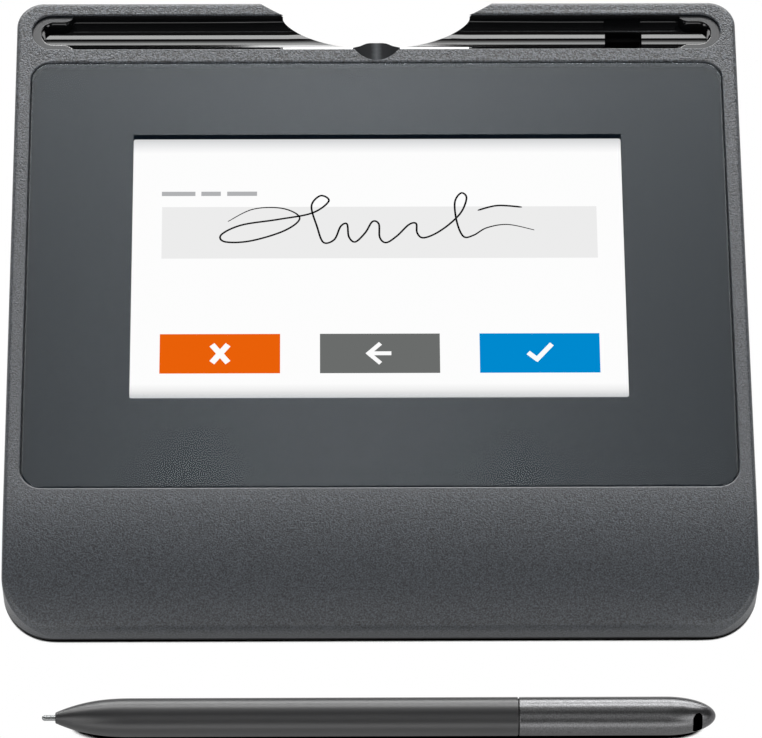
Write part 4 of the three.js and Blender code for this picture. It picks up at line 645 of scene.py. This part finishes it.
plan = (SCREEN_HALF[0] + SCREEN_OVER, -SCREEN_HALF[1] - SCREEN_OVER, SCREEN_HALF[1] + SCREEN_OVER, 0.2, 0.2)
ground = loft("screen_ground", [ring(plan, 0, z, steps=3) for z in (SCREEN_Z - 0.04, SCREEN_Z)])
dressed(ground, screen_material(), "pad")
FIRST_LAYER, SECOND_LAYER = SCREEN_Z + 0.02, SCREEN_Z + 0.04


def decal(name, polygons, material, height=SECOND_LAYER):
    """Flat shapes on the screen; each polygon is anticlockwise in pad coordinates."""
    points, faces = [], []
    for polygon in polygons:
        start = len(points)
        points += [(x, y, height) for x, y in polygon]
        faces.append(tuple(range(start, start + len(polygon))))
    dressed(place(name, points, faces), material, "pad")


def rectangle(left, right, front, rear):
    return [(left, front), (right, front), (right, rear), (left, rear)]


FIELD = rectangle(-47.5, 48.2, 2.2, 15.2)
KEY_Y = (-26.3, -16.6)
KEYS = [
    ("key_cancel", (-47.6, -21.45), "key_orange", srgb(235, 97, 9)),
    ("key_back", (-12.8, 13.25), "key_grey", srgb(107, 109, 108)),
    ("key_accept", (21.9, 48.0), "key_blue", srgb(0, 138, 208)),
]
decal("screen_field", [FIELD], lit("field_grey", srgb(238, 238, 238)), FIRST_LAYER)
for name, sides, material_name, color in KEYS:
    decal(name, [rectangle(*sides, *KEY_Y)], lit(material_name, color), FIRST_LAYER)


def bar(start, end, width):
    """A straight bar along a line."""
    a, b = Vector(start), Vector(end)
    side = Vector((-(b - a).y, (b - a).x)).normalized() * width / 2
    return [tuple(a - side), tuple(b - side), tuple(b + side), tuple(a + side)]


white_mat = lit("sign_white", WHITE)
ky = sum(KEY_Y) / 2
CROSS_X, TICK_X = -34.5, 35.0
decal("sign_cross", [
    bar((CROSS_X - 1.75, ky - 2.2), (CROSS_X + 1.75, ky + 2.2), 1.35),
    bar((CROSS_X - 1.75, ky + 2.2), (CROSS_X + 1.75, ky - 2.2), 1.35),
], white_mat)
decal("sign_arrow", [
    bar((-2.2, ky), (2.7, ky), 0.95),
    bar((-2.55, ky - 0.3), (0.35, ky + 2.45), 0.95),
    bar((0.35, ky - 2.45), (-2.55, ky + 0.3), 0.95),
], white_mat)
decal("sign_tick", [
    bar((TICK_X - 2.6, ky + 0.1), (TICK_X - 0.5, ky - 1.7), 1.1),
    bar((TICK_X - 1.0, ky - 1.9), (TICK_X + 2.6, ky + 2.2), 1.1),
], white_mat)

# A row of short dashes where the prompt stands
dashes = [rectangle(a, b, 18.0, 19.1) for a, b in ((-47.6, -40.2), (-38.9, -34.6), (-33.2, -26.6))]
decal("prompt_dashes", dashes, lit("prompt_grey", srgb(178, 179, 181)), FIRST_LAYER)


def stroke(points, width, samples=14):
    """A band of four-sided faces along a smooth line through the points; its ends taper."""
    pts = [Vector(p) for p in points]
    line = []
    for i in range(len(pts) - 1):
        p0 = pts[max(0, i - 1)]
        p1, p2 = pts[i], pts[i + 1]
        p3 = pts[min(len(pts) - 1, i + 2)]
        for k in range(samples):
            t = k / samples
            line.append(0.5 * (
                2 * p1 + (p2 - p0) * t + (2 * p0 - 5 * p1 + 4 * p2 - p3) * t * t
                + (3 * p1 - p0 - 3 * p2 + p3) * t * t * t
            ))
    line.append(pts[-1])
    left, right = [], []
    for i, p in enumerate(line):
        along = (line[min(i + 1, len(line) - 1)] - line[max(i - 1, 0)]).normalized()
        share = i / (len(line) - 1)
        half = width / 2 * min(1.0, 0.45 + 6 * min(share, 1 - share))
        side = Vector((-along.y, along.x)) * half
        left.append(tuple(p + side))
        right.append(tuple(p - side))
    return [[right[i], right[i + 1], left[i + 1], left[i]] for i in range(len(line) - 1)]


SCRIBBLE = [
    [(-33.0, 11.5), (-27.5, 14.6), (-21.0, 14.8), (-17.2, 12.4), (-20.5, 9.2), (-28.0, 6.6), (-33.6, 6.4), (-34.4, 8.2),
     (-30.0, 10.6), (-22.0, 12.0), (-14.5, 13.6), (-10.8, 16.6), (-12.6, 18.0), (-14.6, 15.4), (-13.4, 10.2),
     (-12.0, 6.2), (-9.6, 6.9), (-8.2, 10.2), (-6.8, 10.8), (-6.4, 7.6), (-5.0, 6.3), (-2.8, 8.6), (-1.2, 11.4),
     (0.2, 10.8), (0.4, 7.4), (1.8, 6.1), (4.2, 7.8), (6.8, 10.6), (8.4, 10.9), (8.6, 8.6), (9.8, 7.3), (12.4, 8.2),
     (15.6, 10.6), (18.4, 13.8), (19.6, 17.4), (18.4, 18.6), (17.0, 16.2), (17.4, 11.2), (18.8, 7.6), (21.0, 7.9),
     (24.0, 9.8), (28.6, 10.6), (34.4, 9.2)],
    [(22.0, 14.2), (26.4, 15.4), (31.8, 15.0)],
]
quads = [quad for line in SCRIBBLE for quad in stroke(line, 0.42)]
decal("scribble", quads, lit("ink_black", srgb(8, 8, 9)))


# Pen tray: cross-sections along x, closed, with rounded rims; the ends narrow to a slot
SLOT_HALF = 2.8
STEP_START, STEP_END = 67.9, 70.4
SLOT_END = GROOVE_END - 2.0
SLOT_CENTRE = SLOT_END - SLOT_HALF
TRAY_OUTER = GROOVE_HALF + TRAY_WALL
TRAY_CENTRE = GROOVE_END - GROOVE_HALF
TRAY_RIM, TROUGH_STEPS = 0.3, 48


def half_width(x):
    """Half the trough's width: full, then a rounded step, then the slot with its round end."""
    x = abs(x)
    if x <= STEP_START:
        return GROOVE_HALF
    if x < STEP_END:
        u = (STEP_END - x) / (STEP_END - STEP_START)
        return SLOT_HALF + (GROOVE_HALF - SLOT_HALF) * (1 - math.sqrt(1 - u * u))
    if x <= SLOT_CENTRE:
        return SLOT_HALF
    return math.sqrt(SLOT_HALF ** 2 - (x - SLOT_CENTRE) ** 2)


def tray_section(x):
    """From the front foot over both rims and the trough to the rear foot."""
    h = half_width(x)
    outer = TRAY_OUTER
    if abs(x) > TRAY_CENTRE:
        outer = math.sqrt(outer ** 2 - (abs(x) - TRAY_CENTRE) ** 2)
    rim = rounding(TRAY_RIM, RIM_STEPS)
    points = [(-outer, TRAY_BOTTOM), (-outer, TRAY_TOP)]
    points += [(-h - out, TRAY_TOP - down) for down, out in rim]
    limit = math.asin(min(1.0, h / GROOVE_HALF))
    for i in range(TROUGH_STEPS + 1):
        a = -limit + 2 * limit * i / TROUGH_STEPS
        points.append((GROOVE_HALF * math.sin(a), -SHOULDER - GROOVE_HALF * math.cos(a)))
    points += [(h + out, TRAY_TOP - down) for down, out in reversed(rim)]
    points += [(outer, TRAY_TOP), (outer, TRAY_BOTTOM)]
    return [(x, GROOVE_Y + y, z) for y, z in points]


def tray_stations():
    """Where the right half has a cross-section; they lie close at the step and at the slot's round end."""
    xs = [0.0, 20.0, 40.0, 60.0, STEP_START]
    xs += [STEP_END - (STEP_END - STEP_START) * math.sin(i / 14 * math.pi / 2) for i in range(13, 0, -1)]
    xs += [STEP_END]
    xs += [STEP_END + (SLOT_CENTRE - STEP_END) * i / 4 for i in range(1, 5)]
    xs += [SLOT_CENTRE + SLOT_HALF * math.sin(i / 20 * math.pi / 2) for i in range(1, 20)]
    return xs


def pen_tray():
    """The trough through its cross-sections, with the solid round ends joined on."""
    right = tray_stations()
    sections = [tray_section(x) for x in [-x for x in reversed(right[1:])] + right]
    n = len(sections[0])
    points = [p for section in sections for p in section]
    faces = []
    for k in range(len(sections) - 1):
        for i in range(n):
            j = (i + 1) % n
            faces.append((k * n + i, (k + 1) * n + i, (k + 1) * n + j, k * n + j))
    faces.append(tuple(range(n)))
    last = (len(sections) - 1) * n
    faces.append(tuple(range(last + n - 1, last - 1, -1)))
    tray = place("tray_body", points, faces)
    start = right[-1] - 0.02
    for side in (-1, 1):
        plan = []
        for i in range(33):
            a = -math.pi / 2 + math.pi * i / 32
            px = TRAY_CENTRE + TRAY_OUTER * math.cos(a)
            if px >= start:
                plan.append((side * px, GROOVE_Y + TRAY_OUTER * math.sin(a)))
        plan = [(side * start, plan[0][1])] + plan + [(side * start, plan[-1][1])]
        if side < 0:
            plan.reverse()
        boolean(tray, prism("tray_end", plan, TRAY_BOTTOM, TRAY_TOP), "UNION")
    return tray


tray = pen_tray()
TETHER_LEFT, TETHER_RIGHT, TETHER_DEPTH = 51.5, 59.8, 7.3
boolean(tray, block("tether", (TETHER_LEFT, GROOVE_FRONT, -20), (TETHER_RIGHT, GROOVE_FRONT + TETHER_DEPTH, 2)))
boolean(tray, prism("tongue_gap", tongue_plan(GAP), TONGUE_BOTTOM - GAP, 1))
boolean(tray, arc("arc", [(SCALLOP_R, -30), (SCALLOP_R, 3)]))
smooth(tray, 34)
dressed(tray, gloss_mat, "pad", ["pen_tray"], [satin_shade_mat, ledge_mat])
# Faces that look to the rear, and the front-facing ones over the trough, are satin: a dull finish whose darker colour
# is painted shade in place of their reflections; the flat tops are ledges
for polygon in tray.data.polygons:
    normal = PAD_INVERSE.to_3x3() @ polygon.normal
    middle = PAD_INVERSE @ (1000 * polygon.center)
    if normal.y > 0.4 or (normal.y < -0.4 and middle.z > -SHOULDER):
        polygon.material_index = 1
    elif normal.z > 0.99 and middle.z > TRAY_TOP - 0.2:
        polygon.material_index = 2


# Pen: barrel and cap meet at the joint, each with a small chamfer and a thin gap between them
JOINT, CHAMFER, INNER_RADIUS = 100.1, 0.2, 2.6
MOUTH_RADIUS, TAPER_START, TAPER_END, TAPER_POWER = 1.18, 2.98, 19.0, 2.4


def taper(share):
    """The barrel's radius, from its mouth to its full width."""
    return MOUTH_RADIUS + (PEN_RADIUS - MOUTH_RADIUS) * (1 - (1 - share) ** TAPER_POWER)


profile = [(2.84, 0.62), (2.84, 1.0), (2.9, 1.1)]
for i in range(41):
    share = i / 40
    profile.append((TAPER_START + share * (TAPER_END - TAPER_START), taper(share)))
profile += [
    (JOINT - CHAMFER, PEN_RADIUS), (JOINT - 0.05, PEN_RADIUS - 0.06),
    (JOINT, PEN_RADIUS - CHAMFER), (JOINT, INNER_RADIUS),
]
barrel = smooth(lathe("barrel", profile), 40)
dressed(barrel, barrel_mat, "pen", ["pen_front_barrel"])

CAP_START, DOME = JOINT + 0.2, 10.5
profile = [
    (CAP_START, INNER_RADIUS), (CAP_START, PEN_RADIUS - CHAMFER),
    (CAP_START + 0.05, PEN_RADIUS - 0.06), (CAP_START + CHAMFER, PEN_RADIUS),
]
for i in range(49):
    a = i / 48 * math.pi / 2
    profile.append((PEN_LENGTH - DOME * (1 - math.sin(a)), max(0.02, PEN_RADIUS * math.cos(a))))
cap = lathe("cap", profile)
# The eyelet: a pocket down to just over the pen's axis, turned about it, and a round bore from its bottom
EYELET_X, EYELET_HALF, EYELET_LENGTH, EYELET_BOTTOM = 137.75, 1.02, 2.35, 0.15
EYELET_TURN = math.radians(25)
BORE_RADIUS, BORE_UP = 0.8, 1.2
plan = outline(EYELET_HALF, -EYELET_LENGTH, EYELET_LENGTH, EYELET_HALF - 0.001, EYELET_HALF - 0.001, steps=12)
slot_matrix = PEN @ Matrix.Translation((EYELET_X, 0, 0)) @ Matrix.Rotation(math.pi / 2 - EYELET_TURN, 4, "X")
boolean(cap, prism("eyelet", plan, EYELET_BOTTOM, 9, slot_matrix))
bore_matrix = slot_matrix @ Matrix.Translation((0, BORE_UP, 0)) @ Matrix.Rotation(-math.pi / 2, 4, "Y")
boolean(cap, lathe("eyelet_bore", [(-9, BORE_RADIUS), (0.3, BORE_RADIUS)], 32, bore_matrix))
smooth(cap, 40)
dressed(cap, cap_mat, "pen", ["pen_rear_cap"], [eyelet_shade_mat])
# Painted shade: the eyelet's inside faces are made black and dull to stand in for the shade in the hole
PEN_INVERSE = PEN.inverted()
for polygon in cap.data.polygons:
    middle = PEN_INVERSE @ (1000 * polygon.center)
    outward = Vector((0, middle.y, middle.z)).normalized().dot(polygon.normal)
    if 136 < middle.x < 140 and outward < 0.5:
        polygon.material_index = 1
spigot = lathe("spigot", [(JOINT - 1, 3.1), (JOINT - 1, 3.75), (CAP_START + 1, 3.75), (CAP_START + 1, 3.1)])
dressed(smooth(spigot, 40), seam_mat, "pen")

NIB_RADIUS, NIB_END = 0.6, 21.0
profile = []
for i in range(13):
    a = i / 12 * math.pi / 2
    profile.append((NIB_RADIUS * (1 - math.cos(a)) + 0.001, max(0.01, NIB_RADIUS * math.sin(a))))
profile.append((NIB_END, NIB_RADIUS))
nib = smooth(lathe("nib_pin", profile, steps=48), 40)
dressed(nib, nib_mat, "nib", ["pen_nib"])

# Inner and hidden CAD nodes keep their own forms
BY_SLOT = {
    "case_grain": grain_mat, "case_dark": lower_mat, "tape": tape_mat, "tray_gloss": gloss_mat, "display": cell_mat,
    "light_guide": guide_mat, "steel": steel_mat, "board": board_mat, "chip": chip_mat, "flex": flex_mat,
    "ferrite": ferrite_mat, "copper": copper_mat, "connector": ivory_mat, "foot_rubber": rubber_mat,
    "pen_barrel": barrel_mat, "pen_cap": cap_mat, "pen_nib": nib_mat, "cover": print_mat,
}
slots = {part["node"]: part["material_slot"] for part in frame["record"]["subparts"]}
for name, obj in frame["nodes"].items():
    obj.data.materials.clear()
    obj.data.materials.append(BY_SLOT[slots[name]])


# Floor: plain white to the eye and in mirrored and passing rays, with a painted contact shadow, a dark line where
# something stands on it, and painted shade near the object in what mirrors see of it
def floor_material():
    """Light falls on it as on a grey board; the white itself is its own."""
    s = Shader("floor_white")
    diffuse = s.node("ShaderNodeBsdfDiffuse", Color=(0.8, 0.8, 0.8, 1)).outputs["BSDF"]
    path = s.node("ShaderNodeLightPath").outputs
    # Painted shadow: occlusion near the object darkens the white, sharply for the eye and more widely for mirrored and
    # passing rays
    painted_shadow_occlusion = s.node("ShaderNodeAmbientOcclusion", Distance=0.006)
    painted_shadow_occlusion.samples = 64
    near = painted_shadow_occlusion.outputs["AO"]
    wide = s.node("ShaderNodeAmbientOcclusion", Distance=0.01).outputs["AO"]
    camera = s.math("MULTIPLY", s.ramp(near, [(0.42, BLACK), (0.475, WHITE)]), path["Is Camera Ray"])
    others = s.math("MAXIMUM", path["Is Glossy Ray"], path["Is Transmission Ray"])
    mirrored = s.math("MULTIPLY", s.ramp(wide, [(0.3, BLACK), (0.85, WHITE)]), others)
    white = s.node("ShaderNodeEmission", Strength=s.math("ADD", camera, mirrored)).outputs["Emission"]
    return s.finish(s.mix(s.math("MAXIMUM", path["Is Camera Ray"], others), diffuse, white))


# In metres
corners = [(-3, -3, 0), (3, -3, 0), (3, 3, 0), (-3, 3, 0)]
floor = place("floor", corners, [(0, 1, 2, 3)], TABLE)
floor.data.materials.append(floor_material())


# Light, in metres: soft boxes over the front, over the top and behind
BOX_DISTANCE, GROOVE_MIDDLE = 2.2, 0.05
WIDE, NARROW, THIN = 1.6, 0.25, 0.06
SIDE_DISTANCE, SIDE_SIZE = 2.0, 1.2


def area_light(name, width, depth, radiance, matrix):
    """A rectangle that shines with this radiance."""
    data = bpy.data.lights.new(name, "AREA")
    data.shape = "RECTANGLE"
    data.size, data.size_y = width, depth
    data.energy = radiance * (data.size * data.size_y) * math.pi
    obj = bpy.data.objects.new(name, data)
    bpy.context.scene.collection.objects.link(obj)
    obj.matrix_world = matrix


def soft_box(name, low, high, half_x, radiance):
    """Spans these angles from the pad's normal, positive to the rear, as seen from the groove."""
    middle = math.radians((low + high) / 2)
    half = math.tan(math.radians((high - low) / 2)) * BOX_DISTANCE
    centre = Vector((0, GROOVE_MIDDLE + BOX_DISTANCE * math.sin(middle), BOX_DISTANCE * math.cos(middle)))
    matrix = Matrix.Rotation(TILT, 4, "X") @ Matrix.Translation(centre) @ Matrix.Rotation(-middle, 4, "X")
    area_light(name, 2 * half_x, 2 * half, radiance, matrix)


def side_box(name, around, height, radiance):
    """A box beside the object: its direction from above, 0 ahead and 90 to the right, and its height angle."""
    turn = Matrix.Rotation(math.radians(around), 4, "Z") @ Matrix.Rotation(math.radians(90 - height), 4, "X")
    area_light(name, SIDE_SIZE, SIDE_SIZE, radiance, turn @ Matrix.Translation((0, 0, SIDE_DISTANCE)))


for box in (
    ("box_front_low", -87, -67.5, WIDE, 2.7),
    ("box_front", -36, -15, NARROW, 2.0),
    ("box_top_1", -3, 3, NARROW, 0.25),
    ("box_top_2", 3, 9, NARROW, 0.7),
    ("box_top_3", 9, 21, NARROW, 1.5),
    ("box_middle_1", 9, 21, THIN, 0.8),
    ("box_middle_2", 21, 29, THIN, 3.3),
    ("box_middle_3", 29, 36, THIN, 4.3),
    ("box_rear_1", 38, 41.5, WIDE, 5.5),
    ("box_rear_2", 41.5, 52, WIDE, 13.0),
    ("box_rear_3", 66, 88, WIDE, 10.5),
):
    soft_box(*box)
side_box("box_front_left", -45, 35, 3.4)
side_box("box_front_right", 45, 35, 3.4)

# World: white to the eye; mirrored and passing rays see the white ground up to a low horizon and a dark room over it
HORIZON, ROOM = (0.1, 0.2), 0.02
world = bpy.data.worlds.new("studio")
world.use_nodes = True
tree = world.node_tree
tree.nodes.clear()
path = tree.nodes.new("ShaderNodeLightPath").outputs
height = tree.nodes.new("ShaderNodeSeparateXYZ")
tree.links.new(tree.nodes.new("ShaderNodeTexCoord").outputs["Generated"], height.inputs[0])


def world_math(operation, first, second):
    node = tree.nodes.new("ShaderNodeMath")
    node.operation = operation
    for socket, value in zip(node.inputs, (first, second)):
        if isinstance(value, float):
            socket.default_value = value
        else:
            tree.links.new(value, socket)
    return node.outputs[0]


others = world_math("MAXIMUM", path["Is Glossy Ray"], path["Is Transmission Ray"])
fall = tree.nodes.new("ShaderNodeMapRange")
fall.inputs["From Min"].default_value, fall.inputs["From Max"].default_value = HORIZON
fall.inputs["To Min"].default_value, fall.inputs["To Max"].default_value = 1.0, 0.0
tree.links.new(height.outputs["Z"], fall.inputs["Value"])
strength = world_math("MAXIMUM", world_math("MULTIPLY", others, fall.outputs["Result"]), path["Is Camera Ray"])
sky = tree.nodes.new("ShaderNodeBackground")
tree.links.new(world_math("MAXIMUM", strength, ROOM), sky.inputs["Strength"])
sky.inputs["Color"].default_value = WHITE
tree.links.new(sky.outputs[0], tree.nodes.new("ShaderNodeOutputWorld").inputs["Surface"])
bpy.context.scene.world = world
bpy.context.scene.view_settings.view_transform = "Standard"

# Camera at the photograph's angle
SENSOR_WIDTH, FOCAL_PIXELS, PHOTO_PIXELS = 36.0, 5132.57, 762.0
CAMERA_PLACE = (-11.55, -613.51 + SHIFT_Y, 958.72 - 0.046)
data = bpy.data.cameras.new("camera")
data.sensor_fit = "HORIZONTAL"
data.sensor_width = SENSOR_WIDTH
data.lens = FOCAL_PIXELS * SENSOR_WIDTH / PHOTO_PIXELS
data.clip_start, data.clip_end = 0.05, 20.0
camera = bpy.data.objects.new("camera", data)
bpy.context.scene.collection.objects.link(camera)
right = Vector((0.99994, -0.00791, 0.00775))
up = Vector((0.00261, 0.84856, 0.52909))
back = Vector((-0.01076, -0.52904, 0.84853))
pose = Matrix((right, up, back)).transposed().to_4x4()
pose.translation = 0.001 * Vector(CAMERA_PLACE)
camera.matrix_world = pose
bpy.context.scene.camera = camera

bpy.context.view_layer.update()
